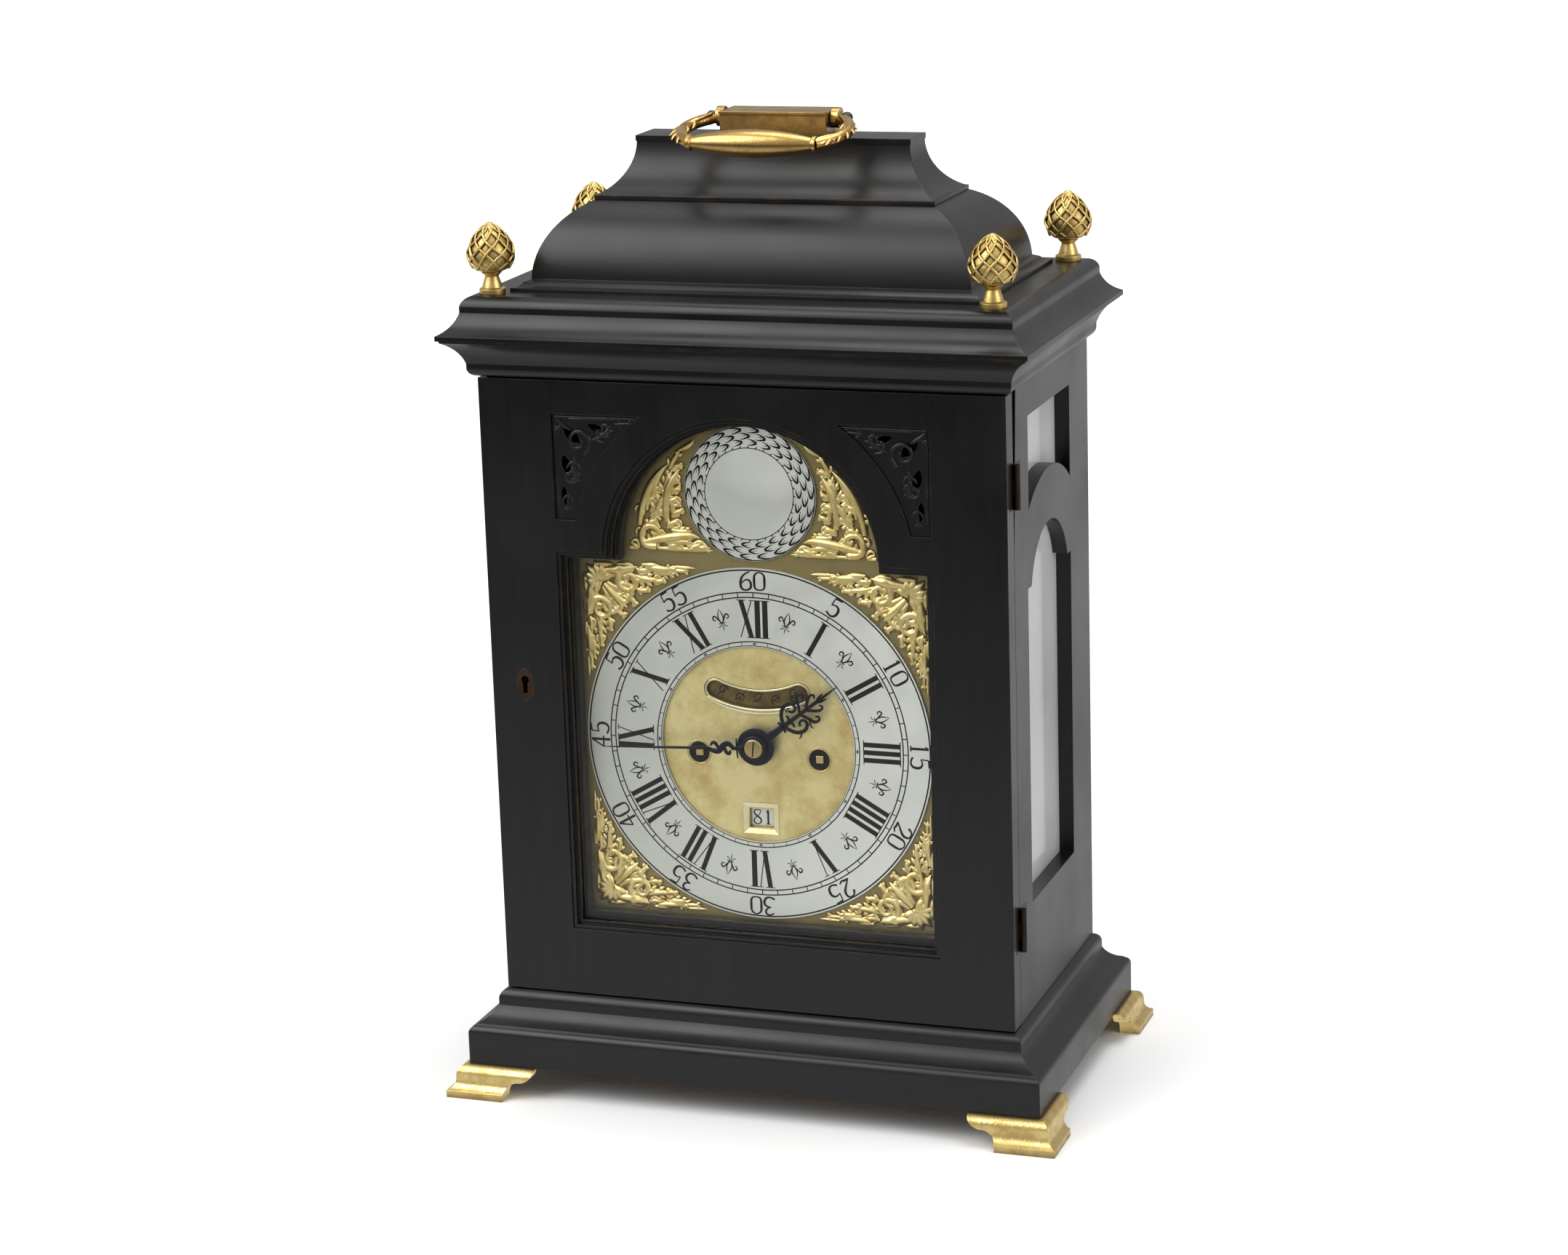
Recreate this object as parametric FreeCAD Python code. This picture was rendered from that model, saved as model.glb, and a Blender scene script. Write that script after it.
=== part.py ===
import FreeCAD, Part
import math
import os
from FreeCAD import Vector

# English bracket clock with a bell top, an arched brass dial and a fusee movement.
# Millimetres, +Z up. The origin is the centre of the base on the surface it stands on.
# The door side faces -Y. "Depth" is a distance behind the front face of the door.

# ---------------------------------------------------------------- driving sizes
# Case body
case_width = 245.4
case_depth = 139.2
body_bottom = 48.0
body_top = 338.7
side_thickness = 11.0
slack = 0.3              # clearance between pieces that move past each other
side_clearance = 0.4     # endways clearance of a piece on its pin
far = 300.0              # reach of a cutting block that runs past the whole case
past = 1.0               # how far a cut runs past the face it opens
flush_gap = 0.5          # gap round a door
pin_clearance = 0.05     # radial clearance of a pin or arbor in its hole

# Feet, plinth and base moulding (offsets are outward from the body's faces)
foot_height = 14.5
foot_run_floor = 28.0
foot_run_top = 42.0
foot_projection = 23.8
foot_neck_projection = 20.0
foot_wall = 6.0
plinth_projection = 15.0
plinth_edge_height = 29.0
base_nosing = 2.2
base_nosing_top = 32.6
base_quirk = 1.0
base_cove_bottom = 33.4
base_cove_top = 40.5
base_fillet_projection = 3.6
base_fillet_top = 43.6
moulding_backing = 9.0
base_board_thickness = 8.0

# Cornice
cornice_bead_projection = 3.7
cornice_bead_height = 6.0
cornice_bead_flat = 2.2
cornice_bead_start = 0.4
cornice_quirk = 1.3
cornice_quirk_height = 1.0
cornice_projection = 13.9
cornice_cove_top = 355.2
cornice_edge_top = 358.4
cornice_top = 375.0
cornice_upper_projection = 5.1
cornice_upper_cove_top = 367.9
cornice_upper_fillet = 370.5
platform_width = 12.5
top_board_thickness = 12.0

# Bell top
bell_foot_inset = 20.0
bell_foot_height = 4.6
bell_foot_spread = 2.8
bell_fillet_height = 1.5
bell_quirk = 1.1
bell_seat = 1.0          # how far a length of the bell top reaches under the one above
bell_lip = 0.4           # overhang of the step board and the cap
bell_step_inset = 43.2
bell_step_height = 412.5
bell_step_thickness = 1.9
bell_neck_inset = 58.3
bell_neck_top = 437.0
bell_cap_thickness = 2.6
bell_wall = 9.0

# Finials
finial_inset = 6.6
finial_height = 32.0
finial_base_radius = 5.9
finial_neck_radius = 3.0
finial_body_radius = 9.9
finial_screw_radius = 1.5
finial_screw_length = 6.0

# Carrying handle
plinth_block_length = 50.0
plinth_block_depth = 19.0
plinth_block_height = 9.8
plinth_cap_thickness = 1.2
plinth_cap_overhang = 1.0
plinth_cap_end_overhang = 0.2
handle_pivot_height = 7.6
handle_reach = 38.5
handle_droop_deg = 10.4
handle_grip_length = 60.0
handle_grip_radius = 6.2
handle_grip_end_radius = 2.9
handle_arm_radius = 2.7
handle_arm_spread = 41.0
handle_ear_radius = 4.6
handle_ear_thickness = 3.6
handle_pin_radius = 1.6
handle_ball_radius = 2.6
handle_pin_seat = 9.0

# Front door
door_thickness = 10.0
door_bottom = 48.6
door_top = 337.8
opening_half_width = 88.5
opening_bottom = 80.0
opening_shoulder = 259.5
arch_radius = 66.5
arch_centre_height = 256.5
bead_width = 3.5
bead_setback = 0.8
glass_thickness = 2.0
front_glass_depth = 5.0
fret_margin = 14.0
fret_top = 322.5
fret_bottom = 274.0
fret_corner = 88.2
fret_thickness = 2.0
# how far in from the outer edge, down from the top, length, width and slope in degrees of each pierced leaf
fret_piercings = [(9.2, 9.5, 11.0, 5.0, 45.0), (21.2, 6.0, 9.0, 3.4, 20.0),
                  (6.2, 23.5, 10.0, 4.2, 75.0), (4.8, 37.5, 9.0, 3.2, 85.0)]
fret_setback = 1.0
stile_gap_at_top = 5.2   # the case front's shrinkage behind the door's upper right corner
stile_gap_start = 265.0

# Lock
keyhole_x = -106.8
keyhole_height = 196.5
keyhole_radius = 1.9
keyhole_slot_width = 2.2
keyhole_slot_length = 6.4
escutcheon_half_width = 4.4
escutcheon_half_height = 7.4
escutcheon_thickness = 1.2
lock_width = 19.0
lock_height = 27.0
lock_thickness = 5.6
bolt_height = 8.0
bolt_thickness = 2.2
bolt_length = 11.0
bolt_travel = 4.0

# Hinges
hinge_knuckle_radius = 1.6
hinge_pin_radius = 0.8
hinge_height = 20.0
hinge_leaf_thickness = 1.2
hinge_leaf_on_case = 11.0
hinge_leaf_on_door = 6.4
back_hinge_leaf = 7.0
upper_hinge_drop = 31.8    # from the top of the door to the top of the hinge
lower_hinge_rise = 34.9    # from the bottom of the door to the bottom of the hinge
back_hinge_rise = 26.9

# Side panels (distances along the depth from the door's front)
window_front = 32.0
window_rear = 106.0
window_bottom = 99.5
window_shoulder = 245.0
window_arch_half_span = 31.0
window_arch_crown = 268.0
upper_window_inset = 2.6
band_spring = 280.0
band_crown = 292.6
upper_window_top = 322.5
side_glass_inset = 7.0
side_glass_rebate = 4.0

# Dial
dial_depth = 15.6
dial_plate_thickness = 2.2
dial_width = 178.0
dial_centre_height = 170.15
mask_thickness = 3.8
mask_setback = 0.2
mask_reveal = 5.0
chapter_outer_radius = 82.5
chapter_inner_radius = 46.0
chapter_thickness = 1.2
boss_radius = 31.0
boss_gap = 0.2           # from the boss to the mask above it
boss_edge_thickness = 1.2
boss_dome = 1.8
casting_thickness = 2.4
casting_margin = 1.4
casting_tip = 3.0
slot_radius = 50.0
slot_half_height = 4.4
slot_half_angle_deg = 23.6
date_window_drop = 35.1
date_window_width = 11.4
date_window_height = 9.0
date_window_bevel = 3.0
date_disc_radius = 28.4
date_disc_thickness = 1.2
date_ring_radius = 22.6  # middle of the disc's ring of numbers
date_teeth = 62
date_stud_radius = 2.0
date_stud_head = 1.4
date_stud_head_thickness = 0.8
winding_hole_radius = 5.0
winding_offset = 28.8
winding_drop = 5.4
dial_foot_radius = 2.0

# Movement frame
front_plate_depth = 28.0
plate_thickness = 3.0
back_plate_depth = 84.0
plate_half_width = 58.0
plate_bottom = 92.0
plate_top = 252.0
pillar_radius = 3.6
pillar_foot = 4.0
pillar_waist = 1.2
pillar_inset = 8.0
seat_board_thickness = 8.0
seat_cleat = 8.0
seat_overhang_front = 6.0
seat_overhang_rear = 1.0

# Hands and motion work
time_hours = 1
time_minutes = 44.5
minute_hand_length = 71.5
hour_hand_length = 49.0
hand_thickness = 0.8
minute_hand_depth = 8.6
hour_hand_depth = 10.9
centre_arbor_radius = 1.5
cannon_radius = 2.6
hour_pipe_radius = 3.6
cannon_teeth = 20
minute_wheel_teeth = 60
cannon_module = 0.6
minute_pinion_teeth = 12
hour_wheel_teeth = 48
hour_module = 0.8
minute_stud_radius = 1.5
motion_wheel_thickness = 1.6
wheel_rim = 3.2          # from the pitch circle in to the arms
wheel_hub = 2.4          # from the arbor out to the arms
hour_wheel_depth = 20.9
cannon_wheel_depth = 24.4
cannon_wheel_length = 2.4
collet_radius = 3.4
collet_height = 1.0
minute_hand_tail = 5.0
minute_hub_radius = 4.6
hour_hub_radius = 6.8

# Going train
great_wheel_teeth = 80
centre_pinion_teeth = 10
centre_wheel_teeth = 96
third_pinion_teeth = 8
third_wheel_teeth = 98
escape_pinion_teeth = 8
centre_module = 0.5
third_module = 0.45
escape_teeth = 30
escape_radius = 16.0
escape_tooth_height = 3.0
escape_arbor_rise = 48.0
pallet_drop_clearance = 1.4
fusee_arbor_radius = 2.4
fusee_large_radius = 14.5
fusee_small_radius = 7.0
fusee_turns = 9
fusee_start_depth = 45.0
fusee_end_depth = 74.0
barrel_radius = 19.0
barrel_x = 28.0
barrel_height = 117.0
barrel_arbor_radius = 2.2
barrel_cap_thickness = 1.5
barrel_cap_overhang = 1.2
arbor_radius = 1.2
train_wheel_thickness = 1.4
great_wheel_thickness = 1.8
leaf_margin = 1.3        # how far a pinion's leaves run past the wheel that drives or is driven
going_wheel_depth = 38.0
strike_wheel_depth = 42.4
centre_wheel_depth = 33.2
third_wheel_depth = 76.4
escape_wheel_depth = 66.0
winding_square_length = 2.6
winding_square_setback = 0.4
pallet_spread = 15.2
pallet_margin = 1.0

# Pendulum
pendulum_length = 165.6
pendulum_rod_radius = 1.2
bob_radius = 17.0
bob_thickness = 8.0
pendulum_gap = 3.0       # from the back plate to the bob
pendulum_hub_radius = 4.0
pendulum_hub_half_length = 2.2
cock_gap = 1.8           # from the pendulum's hub to the cock
cock_thickness = 4.0
cock_half_width = 15.0
cock_half_height = 4.0
cock_leg = 5.0
pallet_arbor_radius = 1.4

# Strike
bell_radius = 30.0
bell_height = 24.0
bell_metal = 1.6
bell_mouth_height = 272.0
bell_depth = 62.0
hammer_pivot_x = 40.0
hammer_pivot_height = 238.0
hammer_rest_gap = 0.8
hammer_head_radius = 4.0
hammer_head_length = 9.0
hammer_arm_width = 2.4
strike_rise = 4.0
bell_strap_half_width = 4.0
bell_strap_thickness = 3.0
bell_strap_bottom = 226.0
bell_stud_radius = 2.2
bell_stud_length = 3.0

# Back door
back_door_thickness = 10.0
back_door_bottom = 66.6
back_door_top = 321.4
back_frame_width = 22.0
back_glass_rebate = 4.0
back_glass_setback = 5.0

# ---------------------------------------------------------------- derived sizes
half_w = case_width / 2
half_d = case_depth / 2
front = -half_d
case_front_depth = door_thickness + side_clearance
inner_x = half_w - side_thickness
upper_hinge_height = door_top - upper_hinge_drop - hinge_height
lower_hinge_height = door_bottom + lower_hinge_rise
back_hinge_heights = (back_door_bottom + back_hinge_rise, back_door_top - back_hinge_rise - hinge_height)
bell_cap_bottom = bell_neck_top
bell_cap_top = bell_cap_bottom + bell_cap_thickness
boss_centre_height = arch_centre_height + arch_radius - mask_reveal - boss_gap - boss_radius
winding_height = dial_centre_height - winding_drop
gear_distance = math.hypot(winding_offset, winding_drop)
great_module = 2 * gear_distance / (great_wheel_teeth + centre_pinion_teeth)
motion_distance = cannon_module * (cannon_teeth + minute_wheel_teeth) / 2
centre_to_third = centre_module * (centre_wheel_teeth + third_pinion_teeth) / 2
third_to_escape = third_module * (third_wheel_teeth + escape_pinion_teeth) / 2
third_rise = (centre_to_third**2 - third_to_escape**2 + escape_arbor_rise**2) / (2 * escape_arbor_rise)
third_x = -math.sqrt(centre_to_third**2 - third_rise**2)
third_height = dial_centre_height + third_rise
escape_height = dial_centre_height + escape_arbor_rise
pallet_height = escape_height + escape_radius * math.sqrt(2)
handle_pivot_z = bell_cap_top + handle_pivot_height
date_disc_height = dial_centre_height - date_window_drop - date_ring_radius
hinge_x = half_w + hinge_knuckle_radius
front_hinge_depth = door_thickness + 0.2
back_door_depth = case_depth - back_door_thickness
seat_rear = back_plate_depth + plate_thickness + seat_overhang_rear
arbor_end = back_plate_depth + plate_thickness
pendulum_depth = arbor_end + pendulum_gap + bob_thickness / 2
cock_depth = pendulum_depth + pendulum_hub_half_length + cock_gap
minute_wheel_depth = cannon_wheel_depth + (cannon_wheel_length - motion_wheel_thickness) / 2
minute_pinion_depth = hour_wheel_depth - 0.5
third_pinion_depth = centre_wheel_depth - leaf_margin
centre_pinion_depth = going_wheel_depth - leaf_margin
escape_pinion_depth = third_wheel_depth - leaf_margin
train_pinion_length = train_wheel_thickness + 2 * leaf_margin
centre_pinion_length = great_wheel_thickness + 2 * leaf_margin
back_hinge_x = inner_x - 0.3
back_hinge_depth = case_depth + hinge_knuckle_radius


def y_at(depth):
    """Y of a point that lies a distance behind the door's front face."""
    return front + depth


# ---------------------------------------------------------------- small helpers
def box(x0, x1, y0, y1, z0, z1):
    return Part.makeBox(x1 - x0, y1 - y0, z1 - z0, Vector(x0, y0, z0))


def slab(x0, x1, depth0, depth1, z0, z1):
    """A box whose Y extents are given as depths."""
    return box(x0, x1, y_at(depth0), y_at(depth1), z0, z1)


def rod_y(x, z, radius, depth0, depth1):
    return Part.makeCylinder(radius, depth1 - depth0, Vector(x, y_at(depth0), z), Vector(0, 1, 0))


def rod_x(y, z, radius, x0, x1):
    return Part.makeCylinder(radius, x1 - x0, Vector(x0, y, z), Vector(1, 0, 0))


def rod_z(x, y, radius, z0, z1):
    return Part.makeCylinder(radius, z1 - z0, Vector(x, y, z0), Vector(0, 0, 1))


def outline(steps, place):
    """Closed face from lines, arcs and curves.

    A step is (a, b) for a line, (mid_a, mid_b, a, b) for an arc, or more pairs for a curve through them."""
    edges = []
    first = place(*steps[0][-2:])
    here = first
    for step in list(steps[1:]) + [steps[0]]:
        there = place(*step[-2:])
        if len(step) > 4:
            curve = Part.BSplineCurve()
            curve.interpolate([here] + [place(*step[i:i + 2]) for i in range(0, len(step), 2)])
            edges.append(curve.toShape())
        elif len(step) == 4:
            edges.append(Part.Arc(here, place(step[0], step[1]), there).toShape())
        elif here.distanceToPoint(there) > 1e-6:
            edges.append(Part.makeLine(here, there))
        here = there
    return Part.Face(Part.Wire(edges))


def arc_step(a0, b0, a1, b1, bulge):
    """Step for an arc that stands off its chord, to the left, by a share of the chord's length."""
    return ((a0 + a1) / 2 - bulge * (b1 - b0), (b0 + b1) / 2 + bulge * (a1 - a0), a1, b1)


def prism_y(steps, depth0, depth1):
    """An outline in X and Z, extruded along the depth."""
    face = outline(steps, lambda a, b: Vector(a, y_at(depth0), b))
    return face.extrude(Vector(0, depth1 - depth0, 0))


def prism_x(steps, x0, x1):
    """An outline in depth and Z, extruded along X."""
    face = outline(steps, lambda a, b: Vector(x0, y_at(a), b))
    return face.extrude(Vector(x1 - x0, 0, 0))


def turned(steps, origin, axis, across):
    """A profile of (radius, height) steps, turned about an axis."""
    face = outline(steps, lambda a, b: origin + across * a + axis * b)
    return face.revolve(origin, axis, 360)


def turned_y(steps, x, z, depth):
    """A profile of (radius, depth) steps, turned about a line along Y."""
    return turned(steps, Vector(x, y_at(depth), z), Vector(0, 1, 0), Vector(1, 0, 0))


def group(pieces):
    return Part.makeCompound(pieces)


def fuse(pieces):
    solid = pieces[0]
    for piece in pieces[1:]:
        solid = solid.fuse(piece)
    return solid.removeSplitter()


def mirrored_x(shape):
    return shape.mirror(Vector(0, 0, 0), Vector(1, 0, 0))


def mirrored_y(shape):
    return shape.mirror(Vector(0, 0, 0), Vector(0, 1, 0))


def mitred_lengths(steps, reach_out, reach_in):
    """Four mitred lengths of a moulding round the case body.

    A step's first value is the offset outward from the body's face, its second the height."""
    out_x = half_w + reach_out
    out_y = half_d + reach_out
    in_x = half_w - reach_in
    in_y = half_d - reach_in
    low = -far
    high = 2 * far
    front_face = outline(steps, lambda a, b: Vector(-out_x, -half_d - a, b))
    front_bar = front_face.extrude(Vector(2 * out_x, 0, 0))
    wedge_points = [(-out_x, -out_y), (out_x, -out_y), (in_x, -in_y), (-in_x, -in_y)]
    wedge = outline(wedge_points, lambda a, b: Vector(a, b, low)).extrude(Vector(0, 0, high - low))
    front_length = front_bar.common(wedge)
    side_face = outline(steps, lambda a, b: Vector(half_w + a, -out_y, b))
    side_bar = side_face.extrude(Vector(0, 2 * out_y, 0))
    wedge_points = [(out_x, -out_y), (out_x, out_y), (in_x, in_y), (in_x, -in_y)]
    wedge = outline(wedge_points, lambda a, b: Vector(a, b, low)).extrude(Vector(0, 0, high - low))
    side_length = side_bar.common(wedge)
    return [front_length, mirrored_y(front_length), side_length, mirrored_x(side_length)]


def gear(teeth, module, x, z, depth0, depth1, phase=0.0, addendum=0.7, dedendum=1.05, tip=0.18, root=0.42):
    """A wheel with straight-sided teeth. One tooth points along the phase angle in the XZ plane."""
    pitch_radius = teeth * module / 2
    pitch_angle = 2 * math.pi / teeth
    outer = pitch_radius + addendum * module
    inner = pitch_radius - dedendum * module
    points = []
    for i in range(teeth):
        middle = phase + i * pitch_angle
        corners = ((-root / 2, inner), (-tip / 2, outer), (tip / 2, outer), (root / 2, inner))
        for share, radius in corners:
            angle = middle + share * pitch_angle
            points.append((x + radius * math.cos(angle), z + radius * math.sin(angle)))
    return prism_y(points, depth0, depth1)


def pinion(teeth, module, x, z, depth0, depth1, phase=0.0):
    return gear(teeth, module, x, z, depth0, depth1, phase, 0.6, 1.05, 0.16, 0.36)


def crossed(wheel, x, z, rim_radius, hub_radius, depth0, depth1, arms=4, arm_width=2.4):
    """Cuts the arms of a clock wheel out of a solid disc."""
    ring = rod_y(x, z, rim_radius, depth0 - 1, depth1 + 1).cut(rod_y(x, z, hub_radius, depth0 - 1, depth1 + 1))
    for i in range(arms // 2):
        bar = slab(-rim_radius, rim_radius, depth0 - 1, depth1 + 1, -arm_width / 2, arm_width / 2)
        bar.rotate(Vector(0, 0, 0), Vector(0, 1, 0), i * 360.0 / arms)
        bar.translate(Vector(x, 0, z))
        ring = ring.cut(bar)
    return wheel.cut(ring)


def angle_to(x0, z0, x1, z1):
    return math.atan2(z1 - z0, x1 - x0)


def gap_phase(teeth, toward):
    """Phase of a wheel that has a gap, not a tooth, in the given direction."""
    return toward + math.pi / teeth


# ---------------------------------------------------------------- base
def bracket_feet():
    profile = [(plinth_projection + 0.3, foot_height),
               (foot_neck_projection - 1.2, foot_height - 1.4, foot_neck_projection, foot_height - 4.0),
               (foot_neck_projection + 0.2, 7.4),
               (foot_neck_projection + 1.4, 4.8, foot_projection, 3.3),
               (foot_projection, 0),
               (foot_neck_projection - foot_wall, 0),
               (foot_neck_projection - foot_wall, foot_height)]
    lengths = mitred_lengths(profile, foot_projection + 2, foot_wall)
    corner_x = half_w + foot_projection
    corner_y = half_d + foot_projection
    end_arc = (foot_run_floor + 1.5, 6.0)
    feet = []
    for sx in (-1, 1):
        for sy in (-1, 1):
            def across(a, b):
                return Vector(sx * (corner_x - a), -corner_y - 1, b)

            def along(a, b):
                return Vector(-corner_x - 1, sy * (corner_y - a), b)

            shape = [(0, 0), (foot_run_floor, 0),
                     (end_arc[0], end_arc[1], foot_run_floor + 6.0, 8.6),
                     (foot_run_top - 2.2, 10.6, foot_run_top, foot_height), (0, foot_height)]
            window_a = outline(shape, across).extrude(Vector(0, 2 * corner_y + 2, 0))
            window_b = outline(shape, along).extrude(Vector(2 * corner_x + 2, 0, 0))
            low = -past
            half_space_x = box(0, far, -far, far, low, body_bottom)
            half_space_y = box(-far, far, 0, far, low, body_bottom)
            if sx < 0:
                half_space_x = mirrored_x(half_space_x)
            if sy < 0:
                half_space_y = mirrored_y(half_space_y)
            leg_a = lengths[0 if sy < 0 else 1].common(window_a).common(half_space_x)
            leg_b = lengths[2 if sx > 0 else 3].common(window_b).common(half_space_y)
            feet.append(fuse([leg_a, leg_b]))
    return group(feet)


def base_moulding():
    low = foot_height
    edge = plinth_projection
    nosing = edge - base_nosing
    cove = nosing - base_quirk
    fillet = base_fillet_projection
    profile = [(-moulding_backing, low), (edge, low), (edge, plinth_edge_height),
               arc_step(edge, plinth_edge_height, nosing, base_nosing_top, -0.155),
               (cove, base_cove_bottom),
               arc_step(cove, base_cove_bottom, fillet, base_cove_top, 0.105),
               (fillet, base_fillet_top),
               arc_step(fillet, base_fillet_top, 0.0, body_bottom, -0.162),
               (-moulding_backing, body_bottom)]
    return group(mitred_lengths(profile, plinth_projection + 2, moulding_backing))


def base_board():
    edge_x = half_w - moulding_backing
    edge_y = half_d - moulding_backing
    return box(-edge_x, edge_x, -edge_y, edge_y, body_bottom - base_board_thickness, body_bottom)


# ---------------------------------------------------------------- case body
def side_panel(front_shrinkage):
    """A frame on the right-hand side, round two glazed openings with an arched band between."""
    body = prism_x([(case_front_depth, body_bottom), (case_depth, body_bottom), (case_depth, body_top),
                    (case_front_depth + front_shrinkage, body_top), (case_front_depth, stile_gap_start)],
                   inner_x, half_w)
    middle = (window_front + window_rear) / 2
    half_span = window_arch_half_span
    lower = [(window_front, window_bottom), (window_rear, window_bottom), (window_rear, window_shoulder),
             (middle + half_span, window_shoulder),
             (middle, window_arch_crown, middle - half_span, window_shoulder),
             (window_front, window_shoulder)]
    upper_front = window_front + upper_window_inset
    upper = [(upper_front, band_spring),
             ((upper_front + window_rear) / 2, band_crown, window_rear, band_spring),
             (window_rear, upper_window_top), (upper_front, upper_window_top)]
    body = body.cut(prism_x(lower, inner_x - 1, half_w + 1))
    body = body.cut(prism_x(upper, inner_x - 1, half_w + 1))
    rebate = slab(inner_x - 1, half_w - side_glass_inset, window_front - side_glass_rebate,
                  window_rear + side_glass_rebate, window_bottom - side_glass_rebate,
                  upper_window_top + side_glass_rebate)
    return body.cut(rebate)


def lock_mortise():
    """Pocket in the left side panel that the lock's bolt enters."""
    return slab(-inner_x - bolt_travel - 1.5, -inner_x + 1,
                door_thickness + lock_thickness / 2 - bolt_thickness / 2 - slack,
                door_thickness + lock_thickness / 2 + bolt_thickness / 2 + slack,
                keyhole_height - bolt_height / 2 - 1, keyhole_height + bolt_height / 2 + 1)


def hinge_recess(side_x, depth0, depth1, low):
    """A recess as deep as a hinge leaf, cut in a face that looks along X."""
    return slab(side_x - hinge_leaf_thickness, side_x + 1, depth0, depth1, low, low + hinge_height)


def side_panel_right():
    panel = side_panel(stile_gap_at_top)
    for low in (lower_hinge_height, upper_hinge_height):
        panel = panel.cut(hinge_recess(half_w, 0, case_front_depth + hinge_leaf_on_case, low))
    return panel


def side_panel_left():
    return mirrored_x(side_panel(0)).cut(lock_mortise())


def side_glass_right():
    """One pane behind both openings, seated in the side panel's rebate."""
    outer = half_w - side_glass_inset
    margin = side_glass_rebate - slack
    return slab(outer - glass_thickness, outer, window_front - margin, window_rear + margin,
                window_bottom - margin, upper_window_top + margin)


def case_rails():
    """Two rails across the back, above and below the rear door."""
    depth0 = back_door_depth
    depth1 = case_depth
    low = slab(-inner_x, inner_x, depth0, depth1, body_bottom, back_door_bottom - flush_gap)
    high = slab(-inner_x, inner_x, depth0, depth1, back_door_top + flush_gap, body_top)
    return group([low, high])


def cornice_moulding():
    low = body_top
    bead_top = low + cornice_bead_height
    bead = cornice_bead_projection
    bead_nose = low + cornice_bead_height - cornice_bead_flat
    quirk = cornice_projection - cornice_quirk
    edge = cornice_projection
    edge_bottom = cornice_cove_top + cornice_quirk_height
    upper = cornice_upper_projection
    profile = [(-moulding_backing, low), (cornice_bead_start, low),
               arc_step(cornice_bead_start, low, bead, bead_nose, -0.167),
               (bead, bead_top),
               arc_step(bead, bead_top, quirk, cornice_cove_top, 0.105),
               (quirk, edge_bottom), (edge, edge_bottom), (edge, cornice_edge_top),
               arc_step(edge, cornice_edge_top, upper, cornice_upper_cove_top, 0.114),
               (upper, cornice_upper_fillet),
               arc_step(upper, cornice_upper_fillet, 0.0, cornice_top, -0.165),
               (-moulding_backing, cornice_top)]
    return group(mitred_lengths(profile, cornice_projection + 2, moulding_backing))


def top_board():
    edge_x = half_w - moulding_backing
    edge_y = half_d - moulding_backing
    board = box(-edge_x, edge_x, -edge_y, edge_y, cornice_top - top_board_thickness, cornice_top)
    return board


# ---------------------------------------------------------------- bell top
def bell_ovolo():
    low = cornice_top
    foot_top = low + bell_foot_height
    inner = bell_step_inset + bell_seat
    foot = -bell_foot_inset + bell_foot_spread
    profile = [(-platform_width, low), (-platform_width, low + bell_fillet_height),
               arc_step(-platform_width, low + bell_fillet_height, foot, low + bell_foot_height - bell_quirk, 0.12),
               (-bell_foot_inset, foot_top),
               arc_step(-bell_foot_inset, foot_top, -bell_step_inset, bell_step_height, -0.146),
               (-inner, bell_step_height), (-inner, low)]
    return group(mitred_lengths(profile, 1.0, inner + 1.0))


def bell_step_board():
    edge_x = half_w - bell_step_inset + bell_lip
    edge_y = half_d - bell_step_inset + bell_lip
    return box(-edge_x, edge_x, -edge_y, edge_y, bell_step_height, bell_step_height + bell_step_thickness)


def bell_cavetto():
    low = bell_step_height + bell_step_thickness
    foot = -bell_step_inset - bell_seat / 2
    inner = -bell_neck_inset - bell_wall + bell_seat
    profile = [(foot, low), arc_step(foot, low, -bell_neck_inset, bell_neck_top, 0.14),
               (inner, bell_neck_top), (inner, low)]
    return group(mitred_lengths(profile, 1.0, bell_neck_inset + bell_wall))


def bell_cap():
    edge_x = half_w - bell_neck_inset + bell_lip
    edge_y = half_d - bell_neck_inset + bell_lip
    return box(-edge_x, edge_x, -edge_y, edge_y, bell_cap_bottom, bell_cap_top)


# ---------------------------------------------------------------- finials
def finial(x, y):
    r = finial_body_radius
    neck = finial_neck_radius
    h = finial_height
    base = finial_base_radius
    body = (r * 0.78, h * 0.36, r * 0.94, h * 0.45, r, h * 0.55, r * 0.87, h * 0.7, r * 0.55, h * 0.86,
            r * 0.16, h * 0.98)
    steps = [(0, -finial_screw_length), (finial_screw_radius, -finial_screw_length), (finial_screw_radius, 0),
             (base, 0), (base, h * 0.075), (base * 0.78, h * 0.094),
             (neck * 1.3, h * 0.17, neck, h * 0.25), (neck * 1.53, h * 0.3), (neck * 1.4, h * 0.33),
             body, (r * 0.1, h), (0, h)]
    return turned(steps, Vector(x, y, cornice_top), Vector(0, 0, 1), Vector(1, 0, 0))


def finial_places():
    x = half_w - finial_inset
    y = half_d - finial_inset
    return [(-x, -y), (x, -y), (-x, y), (x, y)]


def finials():
    return group([finial(x, y) for x, y in finial_places()])


def with_finial_holes(board):
    for x, y in finial_places():
        board = board.cut(rod_z(x, y, finial_screw_radius, cornice_top - finial_screw_length, cornice_top + 1))
    return board


# ---------------------------------------------------------------- handle
def handle_plinth():
    half_length = plinth_block_length / 2
    half_depth = plinth_block_depth / 2
    top = bell_cap_top + plinth_block_height
    block = box(-half_length, half_length, -half_depth, half_depth, bell_cap_top, top)
    drilled = rod_x(0, handle_pivot_z, handle_pin_radius, -half_length - 1, half_length + 1)
    return block.cut(drilled)


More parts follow.
